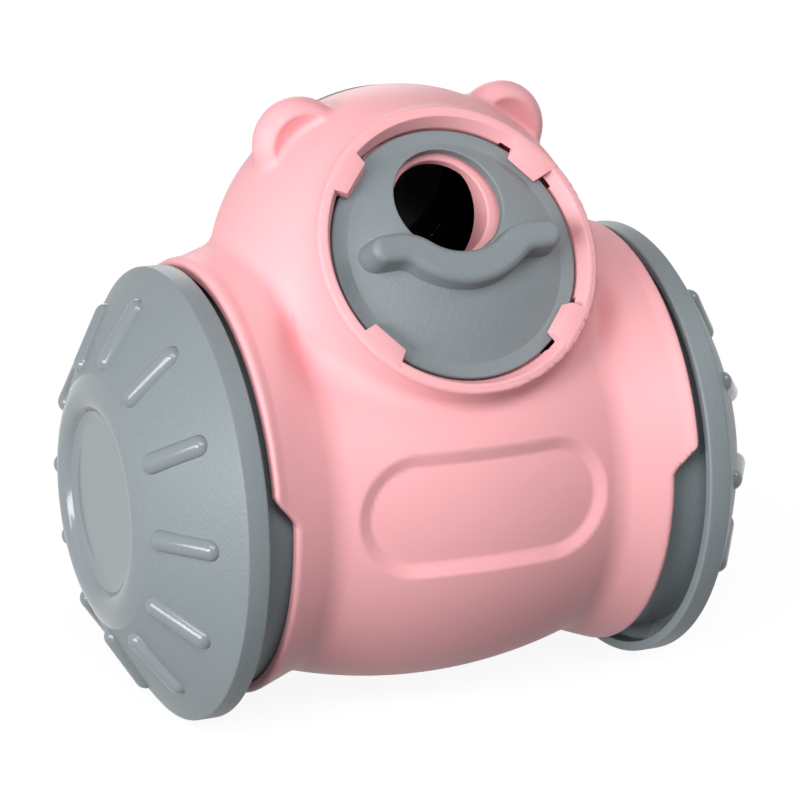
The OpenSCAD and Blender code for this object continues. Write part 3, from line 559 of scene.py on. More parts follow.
def settled(points, half, step):
    # moves every point onto the surface, and onto both surfaces where two of them meet
    start = points.copy()
    for turn in range(net["turns"]):
        value = shellCuts(points, half)
        grad = slopes(points, half)
        order = np.argsort(-value, axis=0)
        row = np.arange(len(points))
        f1, g1 = value[order[0], row], grad[order[0], row]
        f2, g2 = value[order[1], row], grad[order[1], row]
        n11 = np.maximum((g1 * g1).sum(1), 1e-9)
        n22 = np.maximum((g2 * g2).sum(1), 1e-9)
        n12 = (g1 * g2).sum(1)
        move = -g1 * (f1 / n11)[:, None]
        det = n11 * n22 - n12 * n12
        pair = (f2 > -net["near"] * step) & (det > net["apart"] * n11 * n22)
        ka = -(f1 * n22 - f2 * n12) / np.maximum(det, 1e-9)
        kb = -(f2 * n11 - f1 * n12) / np.maximum(det, 1e-9)
        both = ka[:, None] * g1 + kb[:, None] * g2
        reach = np.linalg.norm(points + both - start, axis=1)
        pair &= reach < net["reach"] * step
        move[pair] = both[pair]
        size = np.linalg.norm(move, axis=1)
        move *= np.minimum(1, net["stride"] * step / np.maximum(size, 1e-9))[:, None]
        points = points + move
    return points


def bodyHalf(name, half):
    step = net["grid"]
    low = np.array((-net["sideX"], -net["sideY"] if half < 0 else -net["seamY"], net["low"]))
    high = np.array((net["sideX"], net["seamY"] if half < 0 else net["sideY"], net["high"]))
    count = np.ceil((high - low) / step).astype(int) + 1
    axes = [low[i] + step * np.arange(count[i]) for i in range(3)]
    values = np.empty(count)
    yy, zz = np.meshgrid(axes[1], axes[2], indexing="ij")
    for i, xv in enumerate(axes[0]):
        layer = np.stack((np.full(yy.size, xv), yy.ravel(), zz.ravel()), axis=1)
        values[i] = shellCuts(layer, half).max(axis=0).reshape(yy.shape)
    points, faces = netOfGrid(values, low, step)
    points = settled(points, half, step)
    grad = slopes(points, half)
    grad /= np.maximum(np.linalg.norm(grad, axis=2, keepdims=True), 1e-9)
    value = shellCuts(points, half)
    corner = points[faces]
    flat = np.cross(corner[:, 2] - corner[:, 0], corner[:, 3] - corner[:, 1])
    flat /= np.maximum(np.linalg.norm(flat, axis=1, keepdims=True), 1e-9)
    normals = np.empty((len(faces), 4, 3))
    inner = np.zeros(len(faces), dtype=int)      # corners on the treat chamber or in the neck
    for k in range(4):
        at = faces[:, k]
        match = (grad[:, at] * flat).sum(axis=2)
        match[value[:, at] < -net["thin"] * step] = -2      # this surface does not pass here
        best = match.argmax(axis=0)
        normals[:, k] = grad[best, at]
        inner += (best == paintedShadeCuts["chamber"]) | (best == paintedShadeCuts["neck"])
    mesh = bpy.data.meshes.new(name)
    mesh.from_pydata((points * mm).tolist(), [], faces.tolist())
    mesh.materials.append(finish["pinkPlastic"])
    # the second finish is painted shade, near-black, for faces inside the chamber and the neck bore
    mesh.materials.append(finish["paintedShadeChamber"])
    mesh.shade_smooth()
    # faces with more than one corner on the chamber or the neck bore get the painted shade finish
    mesh.polygons.foreach_set("material_index", (inner > 1).astype(np.int32))
    mesh.normals_split_custom_set(normals.reshape(-1, 3).tolist())
    obj = bpy.data.objects.new(name, mesh)
    scene.collection.objects.link(obj)
    print(name, "skinned,", 2 * len(faces), "triangles")
    return obj


frontShell = bodyHalf("frontShell", -1)
rearShell = bodyHalf("rearShell", 1)


# dial well: lip, flared wall, floor and chute in one closed skin

well = dict(outR=30.2, outLow=2.6, meetR=29.5, meetFlat=0.08, lip=2.905, lipRound=0.35, flareR=28.9,
            wallR=27.4, wallRound=1.0, floor=-2.5, floorLow=-4.7, sharp=28,
            holeUp=10.5, chuteR=10.65, chuteWall=1.8, chuteEnd=14.4, chuteRound=0.5, floorRing=6)


def wellRing(r, c, up=0.0, steps=192):
    out = []
    for i in range(steps):
        a, b = r * math.cos(2 * math.pi * i / steps), up + r * math.sin(2 * math.pi * i / steps)
        out.append((a, b, c(a, b) if callable(c) else c))
    return out


def chuteLow(a, b):
    # depth below the face at which the chute meets its upright end, never above the floor's underside
    foot = faceAt @ Vector((a, b, 0))
    return min(well["floorLow"], (foot.y + well["chuteEnd"]) / math.cos(math.radians(lay["faceTilt"])))


w = well
wellSide = rounded([(w["outR"], w["floorLow"], 0), (w["outR"], w["outLow"], 0), (w["meetR"], w["lip"], 0),
                    (w["meetR"] - w["meetFlat"], w["lip"], 0), (w["flareR"], w["lip"], w["lipRound"]),
                    (w["wallR"], 0.0, w["wallRound"]), (w["wallR"], w["floor"], 0)], seg=6)
rings = [wellRing(r, c) for r, c in wellSide]
chuteSide = rounded([(w["chuteR"] + w["floorRing"], w["floor"], 0),
                     (w["chuteR"], w["floor"], w["chuteRound"]),
                     (w["chuteR"], w["floorLow"], 0)], seg=5)[1:-1]
chuteOut = w["chuteR"] + w["chuteWall"]
chuteSide += [(w["chuteR"], chuteLow), (chuteOut, chuteLow), (chuteOut, w["floorLow"])]
rings += [wellRing(r, c, w["holeUp"]) for r, c in chuteSide]
faceWell = addPiece("faceWell", *loops(rings), finish["pinkPlastic"], sharp=w["sharp"])

# windows at the ends of the lugs, cut right through the floor
lug = dict(angle=41, tipR=24.8, rootR=28.9, deepR=29.8, tipW=7.2, rootW=10.6, low=0.35, tipH=0.15, high=2.91,
           ramp=1.1, edge=0.22, edgeSteps=3, sharp=40,
           windowIn=26.2, windowOut=28.25, windowHalf=7.0, windowLow=-6)


def boxPoints(low, high):
    points = [(x, y, z) for x in (low[0], high[0]) for y in (low[1], high[1]) for z in (low[2], high[2])]
    faces = [(0, 1, 3, 2), (4, 6, 7, 5), (0, 4, 5, 1), (2, 3, 7, 6), (0, 2, 6, 4), (1, 5, 7, 3)]
    return points, faces


windowBox = boxPoints((lug["windowIn"], -lug["windowHalf"], lug["windowLow"]),
                      (lug["windowOut"], lug["windowHalf"], lug["low"]))
windows = addPiece("windows", *windowBox, finish["pinkPlastic"])
grown(windows, fourCopies, {"Angle": math.radians(lug["angle"]), "Finish": finish["pinkPlastic"]})
carved(faceWell, windows, well["sharp"])
moved(faceWell, faceAt)

# snap lugs
sections = []
for r, top in ((lug["tipR"], lug["low"] + lug["tipH"]), (lug["tipR"] + lug["ramp"], lug["high"]),
               (lug["deepR"], lug["high"])):
    share = (r - lug["tipR"]) / (lug["rootR"] - lug["tipR"])
    half = (lug["tipW"] + (lug["rootW"] - lug["tipW"]) * min(1, share)) / 2
    sections.append([(r, -half, lug["low"]), (r, half, lug["low"]), (r, half, top), (r, -half, top)])
lugPoints = [p for sec in sections for p in sec]
lugFaces = [(0, 1, 2, 3), (11, 10, 9, 8)]
for k in (0, 4):
    lugFaces += [(k + i, k + 4 + i, k + 4 + (i + 1) % 4, k + (i + 1) % 4) for i in range(4)]
faceLugs = addPiece("faceLugs", lugPoints, lugFaces, finish["pinkPlastic"], sharp=0)
work = bmesh.new()
work.from_mesh(faceLugs.data)
bmesh.ops.bevel(work, geom=work.edges[:], offset=lug["edge"] * mm, segments=lug["edgeSteps"], profile=0.5,
                affect="EDGES", clamp_overlap=True)
work.to_mesh(faceLugs.data)
work.free()
faceLugs.data.shade_smooth()
faceLugs.data.set_sharp_from_angle(angle=math.radians(lug["sharp"]))
grown(faceLugs, fourCopies, {"Angle": math.radians(lug["angle"]), "Finish": finish["pinkPlastic"]})
moved(faceLugs, faceAt)
print("dial well and lugs made")


# front dial: domed disc with an off-centre hole, rings drawn round the hole

dial = dict(r=26.9, thick=2.2, domeR=23.7, domeH=4.3, flat=0.6, edge=0.5, backEdge=0.3, backIn=1.0,
            holeR=11.9, holeUp=10.5, holeRound=0.45, holeLow=1.2,
            steps=192, roundSteps=6, domeRings=20, backRings=8)


def domeHeight(r):
    ball = (dial["domeR"] ** 2 + dial["domeH"] ** 2) / (2 * dial["domeH"])
    return np.sqrt(np.maximum(ball ** 2 - r ** 2, 0)) - (ball - dial["domeH"])


def toCircle(direction, r):
    # distance from the hole's centre to the circle of radius r
    along = direction[:, 1] * dial["holeUp"]
    return -along + np.sqrt(along ** 2 - dial["holeUp"] ** 2 + r ** 2)


turnA = 2 * np.pi * np.arange(dial["steps"]) / dial["steps"]
ray = np.stack((np.cos(turnA), np.sin(turnA)), axis=1)
hub = np.array((0, dial["holeUp"]))


def dialRing(reach, height):
    flat = hub + ray * np.asarray(reach).reshape(-1, 1)
    if callable(height):
        height = height(np.hypot(flat[:, 0], flat[:, 1]))
    return np.column_stack((flat, np.broadcast_to(height, len(flat)))).tolist()


rimReach = toCircle(ray, dial["domeR"])
full = np.ones(dial["steps"])
rings = [dialRing(full * dial["holeR"], lambda r: domeHeight(r) - dial["thick"]),
         dialRing(full * dial["holeR"], lambda r: domeHeight(r) - dial["holeLow"])]
for k in range(dial["roundSteps"] + 1):
    a = math.pi / 2 * k / dial["roundSteps"]
    away, sink = dial["holeRound"] * (1 - math.cos(a)), dial["holeRound"] * (1 - math.sin(a))
    rings.append(dialRing(full * (dial["holeR"] + away), lambda r, sink=sink: domeHeight(r) - sink))
firstReach = dial["holeR"] + dial["holeRound"]
for share in np.linspace(0, 1, dial["domeRings"])[1:]:
    rings.append(dialRing(firstReach + (rimReach - firstReach) * share, domeHeight if share < 1 else 0.0))
backR = dial["domeR"] - dial["backIn"]
for r, c in rounded([(dial["domeR"] + dial["flat"], 0.0, 0), (dial["r"], 0.0, dial["edge"]),
                     (dial["r"], -dial["thick"], dial["backEdge"]), (backR, -dial["thick"], 0)], seg=6):
    rings.append(dialRing(toCircle(ray, r), c))
lowReach = toCircle(ray, backR)
for share in np.linspace(1, 0, dial["backRings"])[1:-1]:
    rings.append(dialRing(firstReach + (lowReach - firstReach) * share,
                          lambda r: np.maximum(domeHeight(r) - dial["thick"], -dial["thick"])))
frontDial = addPiece("frontDial", *loops(rings), finish["greyGrain"], sharp=14)
moved(frontDial, faceAt)


# finger grips: stacked outlines round a centre line, drafted sides and a rounded top

gripSteps = dict(cap=16, top=8, thinnest=0.05)


def gripMesh(line, widths, low, top, draft, roundness):
    line = np.asarray(line, dtype=float)
    widths = np.asarray(widths, dtype=float)
    run = np.gradient(line, axis=0)
    run /= np.linalg.norm(run, axis=1, keepdims=True)
    side = np.stack((-run[:, 1], run[:, 0]), axis=1)
    capSteps = gripSteps["cap"]

    def outline(inset):
        half = np.maximum(widths / 2 - inset, gripSteps["thinnest"])
        left = line + side * half[:, None]
        right = line - side * half[:, None]
        caps = []
        for end, sign in ((-1, 1), (0, -1)):
            base = math.atan2(side[end][1] * sign, side[end][0] * sign)
            turns = base - np.pi * np.arange(1, capSteps) / capSteps
            caps.append(line[end] + half[end] * np.stack((np.cos(turns), np.sin(turns)), axis=1))
        return np.concatenate((left, caps[0], right[::-1], caps[1]))

    levels = [(low, -draft), (low + (top - roundness - low) * 0.5, -draft / 2)]
    for k in range(gripSteps["top"] + 1):
        a = math.pi / 2 * k / gripSteps["top"]
        levels.append((top - roundness + roundness * math.sin(a), roundness * (1 - math.cos(a))))
    points, faces = [], []
    for height, inset in levels:
        flat = outline(inset)
        points.append(np.column_stack((flat, np.full(len(flat), height))))
    n = len(points[0])
    for a in range(0, (len(levels) - 1) * n, n):
        faces += [(a + i, a + (i + 1) % n, a + n + (i + 1) % n, a + n + i) for i in range(n)]
    # foot and top: a strip of quads along the line and a fan at each end
    m = len(line)
    for base in (0, (len(levels) - 1) * n):
        far = base + 2 * m + capSteps - 2
        faces += [(base + i, base + i + 1, far - 1 - i, far - i) for i in range(m - 1)]
        faces.append([base + m - 1 + i for i in range(capSteps + 1)])
        faces.append([far + i for i in range(capSteps)] + [base])
    return np.concatenate(points), faces


grip = dict(arcR=15.8, bend=40, backR=8.0, armEnd=18.4, midW=7.2, endW=5.9, low=-0.6, top=8.2, draft=0.7,
            roundness=1.7, arcSteps=18, backSteps=9, armSteps=5, sharp=40)
line = []
for a in np.radians(np.linspace(0, grip["bend"], grip["arcSteps"])):
    line.append((grip["arcR"] * math.sin(a), dial["holeUp"] - grip["arcR"] * math.cos(a)))
bend = math.radians(grip["bend"])
bothR = grip["arcR"] + grip["backR"]
turnAt = (bothR * math.sin(bend), dial["holeUp"] - bothR * math.cos(bend))
for a in np.linspace(bend, 0, grip["backSteps"])[1:]:
    line.append((turnAt[0] - grip["backR"] * math.sin(a), turnAt[1] + grip["backR"] * math.cos(a)))
for x in np.linspace(line[-1][0], grip["armEnd"], grip["armSteps"])[1:]:
    line.append((x, line[-1][1]))
line = [(-x, y) for x, y in line[:0:-1]] + line
away = np.abs(np.array(line)[:, 0]) / grip["armEnd"]
gripWide = grip["midW"] + (grip["endW"] - grip["midW"]) * away
gripPoints, gripFaces = gripMesh(line, gripWide, grip["low"], grip["top"], grip["draft"], grip["roundness"])
dialGrip = addPiece("dialGrip", gripPoints, gripFaces, finish["greyGrain"], sharp=grip["sharp"])
moved(dialGrip, faceAt)
print("front dial made")


# rear lid, its grip, and the filler neck with its pegs

lid = dict(r=27.1, tall=6.6, thick=2.2, domeH=2.4, domeIn=1.2, domeSteps=14, inR=23.9, rim=0.5, edge=0.5,
           footOut=0.4, footIn=0.3, ceiling=0.6, gripLong=38.0, gripW=6.6, gripTrim=0.4, gripLow=-0.4,
           gripTop=8.2, gripDraft=0.2, gripRound=2.4, gripSteps=24)
ball = (lid["r"] ** 2 + lid["domeH"] ** 2) / (2 * lid["domeH"])
lidSide = []
for r in np.linspace(0, lid["r"] - lid["domeIn"], lid["domeSteps"]):
    lidSide.append((r, math.sqrt(ball ** 2 - r ** 2) - (ball - lid["domeH"]), 0))
lidSide += [(lid["r"], lid["rim"], lid["edge"]), (lid["r"], -lid["tall"], lid["footOut"]),
            (lid["inR"], -lid["tall"], lid["footIn"]), (lid["inR"], -lid["thick"], lid["ceiling"]),
            (0, -lid["thick"], 0)]
rearLid = addPiece("rearLid", *turned(rounded(lidSide, seg=8)), finish["greyGrain"], sharp=24)
moved(rearLid, backAt)
reach = (lid["gripLong"] - lid["gripW"]) / 2
lidLine = [(x, 0.0) for x in np.linspace(-reach, reach, lid["gripSteps"])]
barWide = np.full(lid["gripSteps"], lid["gripW"] - lid["gripTrim"])
barMesh = gripMesh(lidLine, barWide, lid["gripLow"], lid["gripTop"], lid["gripDraft"], lid["gripRound"])
lidGrip = addPiece("lidGrip", *barMesh, finish["greyGrain"], sharp=grip["sharp"])
moved(lidGrip, backAt)

neck = dict(inR=21.1, outR=23.5, low=-9.2, high=-2.6, lowRound=0.2, highRound=0.5, boreOver=0.1, steps=128,
            pegIn=0.5, pegOut=25.0, pegZ=-4.5, pegH=1.5, pegAngle=9, pegCount=3)
neckSide = rounded([(neck["inR"], neck["low"], neck["lowRound"]),
                    (neck["outR"], neck["low"], neck["lowRound"]),
                    (neck["outR"], neck["high"], neck["highRound"]),
                    (neck["inR"], neck["high"], neck["highRound"])], seg=4, loop=True)
fillerNeck = addPiece("fillerNeck", *turned(neckSide, neck["steps"], loop=True),
                      [finish["pinkPlastic"], finish["paintedShadeChamber"]], sharp=40)
# painted shade: the neck's bore gets the near-black finish in place of the shade that falls inside it
for f in fillerNeck.data.polygons:
    if math.hypot(f.center.x, f.center.y) < (neck["inR"] + neck["boreOver"]) * mm:
        f.material_index = 1
moved(fillerNeck, backAt)
halfPeg = neck["outR"] * math.tan(math.radians(neck["pegAngle"] / 2))
pegBox = boxPoints((neck["outR"] - neck["pegIn"], -halfPeg, neck["pegZ"]),
                   (neck["pegOut"], halfPeg, neck["pegZ"] + neck["pegH"]))
neckPegs = addPiece("neckPegs", *pegBox, finish["pinkPlastic"])
grown(neckPegs, ring, {"Count": neck["pegCount"], "First Angle": math.pi / 2,
                       "Finish": finish["pinkPlastic"]})
moved(neckPegs, backAt)

# smooth lip round the lid's seat, laid on the shell's round skin
seat = dict(inR=27.45, edgeIn=0.3, foldR=28.3, endR=29.4, low=-4.0, over=0.03, under=0.06, edge=0.2,
            steps=192)


def skinHigh(r):
    return math.sqrt(shell["headR"] ** 2 - r * r) - lay["lidOut"]


lipSide = [(seat["foldR"], seat["low"], 0), (seat["inR"], seat["low"], 0),
           (seat["inR"], skinHigh(seat["inR"]) + seat["over"], seat["edge"])]
for r in np.linspace(seat["inR"] + seat["edgeIn"], seat["foldR"], 4):
    lipSide.append((r, skinHigh(r) + seat["over"], 0))
lipSide.append((seat["endR"], skinHigh(seat["endR"]) - seat["under"], 0))
lipMesh = turned(rounded(lipSide, seg=5), seat["steps"], loop=True)
seatLip = addPiece("seatLip", *lipMesh, finish["pinkPlastic"])
moved(seatLip, backAt)
print("rear lid made")


# wheels: turned disc, capsule ribs on its face, gussets behind the rim, cap in the hub

wheel = dict(r=48.0, rimIn=50.0, rimOut=54.7, rimEdge=0.45, hubX=68.7, ringR=26.5, bulge=0.6, wall=2.2,
             ringTop=70.08, ringCrest=22.6, dishR=19.2, capX=66.1, capTop=67.7, capFlat=16.4, capRise=0.7,
             capGap=0.04, drumOut=41.8, drumIn=40.4, drumX=42.0, bossX=44.0, bossR=9.7, pocketR=7.5,
             seatX=61.9, boreR=6.1, underX=63.9, steps=256, faceFrom=0.06, faceSteps=16, capSteps=12,
             # hub ring, from the dish to the face: steps out from the dish and down from the ring's top,
             # steps to each side of the crest and down, steps in from the ring's foot and up from the hub
             dishSide=((0.4, 1.15), (1.0, 0.55)), crestIn=(1.3, 0.14), crestOut=(1.2, 0.16),
             footSide=((1.1, 0.62), (0.2, 0.12)), glossOver=0.4,
             # rounds of the back
             rimBack=0.5, thinEdge=0.4, fineEdge=0.3, fillet=1.0, deepFillet=2.0)
ribs = dict(count=12, inner=28.4, outer=42.6, width=4.8, high=1.6, sink=1.2, endSteps=9, around=32)
gussets = dict(count=8, thick=1.4, inner=8.2, low=1.5, rimStep=1)


def smoothLine(points, seg=6):
    # soft curve through the points
    out = []
    pts = [np.array(p, dtype=float) for p in points]
    for i in range(len(pts) - 1):
        p0, p1, p2, p3 = pts[max(i - 1, 0)], pts[i], pts[i + 1], pts[min(i + 2, len(pts) - 1)]
        for k in range(seg):
            t = k / seg
            out.append(tuple(0.5 * (2 * p1 + (p2 - p0) * t + (2 * p0 - 5 * p1 + 4 * p2 - p3) * t ** 2
                                    + (3 * p1 - p0 - 3 * p2 + p3) * t ** 3)))
    return out + [tuple(pts[-1])]


def wheelSide():
    q = wheel
    rimAt, hubAt = np.array((q["r"], q["rimOut"])), np.array((q["ringR"], q["hubX"]))
    normal = np.array((q["hubX"] - q["rimOut"], q["r"] - q["ringR"])) / np.linalg.norm(rimAt - hubAt)
    face = []
    for t in np.linspace(q["faceFrom"], 1, q["faceSteps"]):
        face.append(tuple(hubAt + (rimAt - hubAt) * t + normal * q["bulge"] * 4 * t * (1 - t)))
    bead = [(q["dishR"], q["capTop"] + q["capRise"])]
    bead += [(q["dishR"] + out, q["ringTop"] - down) for out, down in q["dishSide"]]
    bead += [(q["ringCrest"] - q["crestIn"][0], q["ringTop"] - q["crestIn"][1]),
             (q["ringCrest"], q["ringTop"]),
             (q["ringCrest"] + q["crestOut"][0], q["ringTop"] - q["crestOut"][1])]
    bead += [(q["ringR"] - back, q["hubX"] + up) for back, up in q["footSide"]]
    bead = [(q["dishR"], q["capX"])] + smoothLine(bead + [face[0]])
    slope = (q["hubX"] - q["rimOut"]) / (q["r"] - q["ringR"])
    rise = q["wall"] * math.sqrt(1 + slope * slope)
    inR = q["r"] - q["wall"]
    topR = q["r"] - (q["underX"] - q["rimOut"] + rise) / slope

    def under(r):
        return q["rimOut"] + (q["r"] - r) * slope - rise

    back = rounded([(face[-2][0], face[-2][1], 0), (q["r"], q["rimOut"], q["rimEdge"]),
                    (q["r"], q["rimIn"], q["rimBack"]), (inR, q["rimIn"], q["fineEdge"]),
                    (inR, under(inR), q["fillet"]), (q["drumOut"], under(q["drumOut"]), q["rimBack"]),
                    (q["drumOut"], q["drumX"], q["thinEdge"]), (q["drumIn"], q["drumX"], q["thinEdge"]),
                    (q["drumIn"], under(q["drumIn"]), q["rimBack"]), (topR, q["underX"], q["deepFillet"]),
                    (q["bossR"], q["underX"], q["fillet"]), (q["bossR"], q["bossX"], q["thinEdge"]),
                    (q["boreR"], q["bossX"], q["fineEdge"]), (q["boreR"], q["seatX"], 0),
                    (q["pocketR"], q["seatX"], 0), (q["pocketR"], q["capX"], 0),
                    (q["dishR"], q["capX"], 0)], seg=5)
    return bead + face[1:-2] + back[:-1]


def capSide():
    # flat middle that turns up in a soft bowl to meet the ring
    q = wheel
    edge = q["dishR"] - q["capGap"]
    side = [(0, q["capTop"])]
    for r in np.linspace(q["capFlat"], edge, q["capSteps"]):
        side.append((r, q["capTop"] + q["capRise"] * ((r - q["capFlat"]) / (edge - q["capFlat"])) ** 2))
    return side + [(edge, q["capX"]), (0, q["capX"])]


def ribMesh():
    slope = math.atan2(wheel["hubX"] - wheel["rimOut"], wheel["r"] - wheel["ringR"])
    midR = (ribs["inner"] + ribs["outer"]) / 2
    midX = wheel["rimOut"] + (wheel["r"] - midR) * math.tan(slope) + wheel["bulge"]
    r = ribs["width"] / 2
    half = (ribs["outer"] - ribs["inner"]) / 2 / math.cos(slope) - r
    # capsule turned about its length: stations from end to end, rings across
    quarter = np.linspace(0, math.pi / 2, ribs["endSteps"])
    stations = [(-half - r * math.cos(a), r * math.sin(a)) for a in quarter]
    stations += [(half + r * math.sin(a), r * math.cos(a)) for a in quarter]
    points, faces = turned([(max(q, 0), s) for s, q in stations], ribs["around"])
    along, off = math.cos(slope), math.sin(slope)
    out = []
    for u, v, s in points:
        up = max(u + ribs["high"] - r, -ribs["sink"])
        # along the face towards the rim, then off the face
        out.append((midR + s * along + up * off, v, midX - s * off + up * along))
    return out, faces


def gussetMesh():
    slope = (wheel["hubX"] - wheel["rimOut"]) / (wheel["r"] - wheel["ringR"])
    inR = wheel["r"] - wheel["wall"] / 2
    faceX = wheel["rimOut"] - wheel["wall"] / 2
    farR, farX = inR - gussets["inner"], faceX + gussets["inner"] * slope
    flat = [(inR, wheel["rimIn"] + gussets["rimStep"]), (inR, faceX), (farR, farX),
            (farR, farX - gussets["low"])]
    t = gussets["thick"] / 2
    points = [(r, -t, h) for r, h in flat] + [(r, t, h) for r, h in flat]
    faces = [(0, 1, 2, 3), (7, 6, 5, 4)] + [(i, i + 4, (i + 1) % 4 + 4, (i + 1) % 4) for i in range(4)]
    return points, faces


made = {}
for word in ("left", "right"):
    low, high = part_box(word + "_wheel")
    side = 1 if low.x + high.x > 0 else -1
    place = wheelAt(side)
    disc = addPiece(word + "Wheel", *turned(wheelSide(), wheel["steps"], loop=True),
                    [finish["greyGrain"], finish["greyGloss"]], sharp=32)
    glossR = wheel["ringR"] + wheel["glossOver"]
    for f in disc.data.polygons:
        if math.hypot(f.center.x, f.center.y) < glossR * mm and f.center.z > wheel["capX"] * mm:
            f.material_index = 1
    moved(disc, place)
    bars = addPiece(word + "WheelRibs", *ribMesh(), finish["greyGloss"], sharp=50)
    grown(bars, ring, {"Count": ribs["count"], "First Angle": 0.0, "Finish": finish["greyGloss"]})
    moved(bars, place)
    plates = addPiece(word + "WheelGussets", *gussetMesh(), finish["greyGrain"])
    firstAngle = math.pi / gussets["count"]
    grown(plates, ring, {"Count": gussets["count"], "First Angle": firstAngle, "Finish": finish["greyGrain"]})
    moved(plates, place)
    cap = addPiece(word + "HubCap", *turned(capSide()), finish["greyGloss"])
    moved(cap, place)
    made[word] = (disc, bars, plates, cap)
print("wheels made")


# shell screws, seen in their wells at the back

screw = dict(r=1.5, tipR=0.5, tipRound=0.1, taper=1.6, taperRound=0.3, bite=9.0, back=10.0,
             headR=2.8, headH=2.0, neckRound=0.2, sideShare=0.6, sideRound=0.5, topShare=0.6, topRound=0.6,
             slotW=0.7, slotL=3.2, slotDeep=1.0, steps=40, sharp=30)
s = screw
top = s["back"] + s["headH"]
screwSide = rounded([(0, -s["bite"], 0), (s["tipR"], -s["bite"], s["tipRound"]),
                     (s["r"], -s["bite"] + s["taper"], s["taperRound"]), (s["r"], s["back"], 0),
                     (s["headR"], s["back"], s["neckRound"]),
                     (s["headR"], s["back"] + s["headH"] * s["sideShare"], s["sideRound"]),
                     (s["headR"] * s["topShare"], top, s["topRound"]), (0, top, 0)], seg=4)
shellScrews = addPiece("shellScrews", *turned(screwSide, s["steps"]), finish["brightSteel"])
# cross slot
for wide, deep in ((s["slotW"] / 2, s["slotL"] / 2), (s["slotL"] / 2, s["slotW"] / 2)):
    slotBox = boxPoints((-wide, -deep, top - s["slotDeep"]), (wide, deep, top + 1))
    carved(shellScrews, addPiece("crossTool", *slotBox, finish["brightSteel"]), s["sharp"])
moved(shellScrews, Matrix.Rotation(math.radians(-90), 4, "X"))
highX, highZ = shell["highScrew"]
lowX, lowZ = shell["lowScrew"]
grown(shellScrews, atSpots, {"High Spot": (highX * mm, 0.0, highZ * mm),
                             "Low Spot": (lowX * mm, 0.0, lowZ * mm), "Finish": finish["brightSteel"]})
print("screws made")


# each piece rides on its body and stands for its solid

for piece, node in ((frontShell, "front_shell"), (rearShell, "rear_shell"), (shellScrews, "shell_screws")):
    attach(piece, "body")
    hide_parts(node)
for piece in (faceWell, faceLugs, fillerNeck, neckPegs, seatLip):
    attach(piece, "body")
for piece, node in ((frontDial, "front_dial"), (rearLid, "rear_lid")):
    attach(piece, node)
    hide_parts(node)
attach(dialGrip, "front_dial")
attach(lidGrip, "rear_lid")
for word, (disc, bars, plates, cap) in made.items():
    for piece in (disc, bars, plates, cap):
        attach(piece, word + "_wheel")
    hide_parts(word + "_wheel")
    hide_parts(word + "_hub_cap")

carried = dict(brightSteel=("left_axle", "right_axle", "left_washer", "right_washer", "left_axle_screw",
                            "right_axle_screw", "cover_screws"),
               bushAcetal=("left_bush", "right_bush", "weight_cover"), castIron=("counterweight",))
for name, solids in carried.items():
    for node in solids:
        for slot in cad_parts[node].material_slots:
            slot.material = finish[name]
print("pieces ride on their bodies")


# floor, light and world

stageLook = dict(floor=3.0, floorColour=0.18, glowNear=0.91, glowFar=0.98, nearR=0.25, farR=1.2, sky=0.03)


def seenDirectly(tree):
    # 1 for rays from the camera, a reflection or clear plastic, 0 for light that falls on the object
    rays = addNode(tree, "ShaderNodeLightPath")
    last = rays.outputs["Is Camera Ray"]
    for kind in ("Is Glossy Ray", "Is Transmission Ray"):
        either = addNode(tree, "ShaderNodeMath", {0: last, 1: rays.outputs[kind]}, operation="MAXIMUM")
        last = either.outputs[0]
    return last


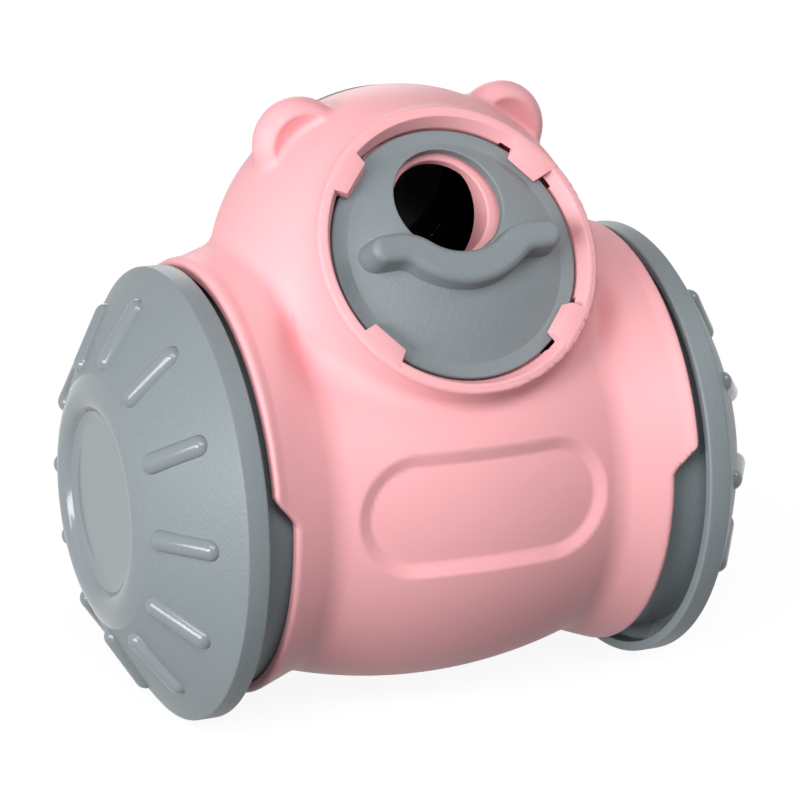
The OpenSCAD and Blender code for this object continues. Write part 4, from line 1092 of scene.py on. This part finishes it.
floorMesh = bpy.data.meshes.new("floor")
f = stageLook["floor"]
floorMesh.from_pydata([(-f, -f, 0), (f, -f, 0), (f, f, 0), (-f, f, 0)], [], [(0, 1, 2, 3)])
floor = bpy.data.objects.new("floor", floorMesh)
scene.collection.objects.link(floor)
paper = bpy.data.materials.new("paleFloor")
paper.use_nodes = True
tree = paper.node_tree
tree.nodes.clear()
matte = addNode(tree, "ShaderNodeBsdfDiffuse", {"Color": (stageLook["floorColour"],) * 3 + (1,)})
place = addNode(tree, "ShaderNodeTexCoord")
away = addNode(tree, "ShaderNodeVectorMath", {0: place.outputs["Object"]}, operation="LENGTH")
level = addNode(tree, "ShaderNodeMapRange", {
    "Value": away.outputs["Value"], "From Min": stageLook["nearR"], "From Max": stageLook["farR"],
    "To Min": stageLook["glowNear"], "To Max": stageLook["glowFar"]})
shown = addNode(tree, "ShaderNodeMath", {0: level.outputs["Result"], 1: seenDirectly(tree)},
                operation="MULTIPLY")
glow = addNode(tree, "ShaderNodeEmission", {"Strength": shown.outputs[0]})
mixed = addNode(tree, "ShaderNodeAddShader", {0: matte.outputs[0], 1: glow.outputs[0]})
addNode(tree, "ShaderNodeOutputMaterial", {"Surface": mixed.outputs[0]})
floorMesh.materials.append(paper)

world = bpy.data.worlds.new("studio")
scene.world = world
world.use_nodes = True
tree = world.node_tree
tree.nodes.clear()
strength = addNode(tree, "ShaderNodeMapRange", {
    "Value": seenDirectly(tree), "To Min": stageLook["sky"], "To Max": 1.0})
sky = addNode(tree, "ShaderNodeBackground", {"Color": (1, 1, 1, 1), "Strength": strength.outputs["Result"]})
addNode(tree, "ShaderNodeOutputWorld", {"Surface": sky.outputs[0]})

lampLook = dict(aim=(0, 0, 0.065), size=0.5)
lamps = {
    "frontLamp": dict(place=(-0.22, -0.98, 0.71), power=4.0),
    "keyLamp": dict(place=(-0.58, -0.67, 0.87), power=4.0),
    "leftLamp": dict(place=(-1.00, -0.65, 0.25), power=7.4),
    "sideLamp": dict(place=(-1.16, -0.24, 0.21), power=5.8),
    "rightLamp": dict(place=(0.79, -0.42, 0.86), power=3.1),
    "backLamp": dict(place=(0.35, 1.07, 0.48), power=2.0),
}
for name, look in lamps.items():
    data = bpy.data.lights.new(name, "AREA")
    data.shape = "DISK"
    data.size = lampLook["size"]
    data.energy = look["power"]
    lamp = bpy.data.objects.new(name, data)
    lamp.location = look["place"]
    way = Vector(lampLook["aim"]) - Vector(look["place"])
    lamp.rotation_euler = way.to_track_quat("-Z", "Y").to_euler()
    scene.collection.objects.link(lamp)
scene.view_settings.view_transform = "Standard"
print("stage set")
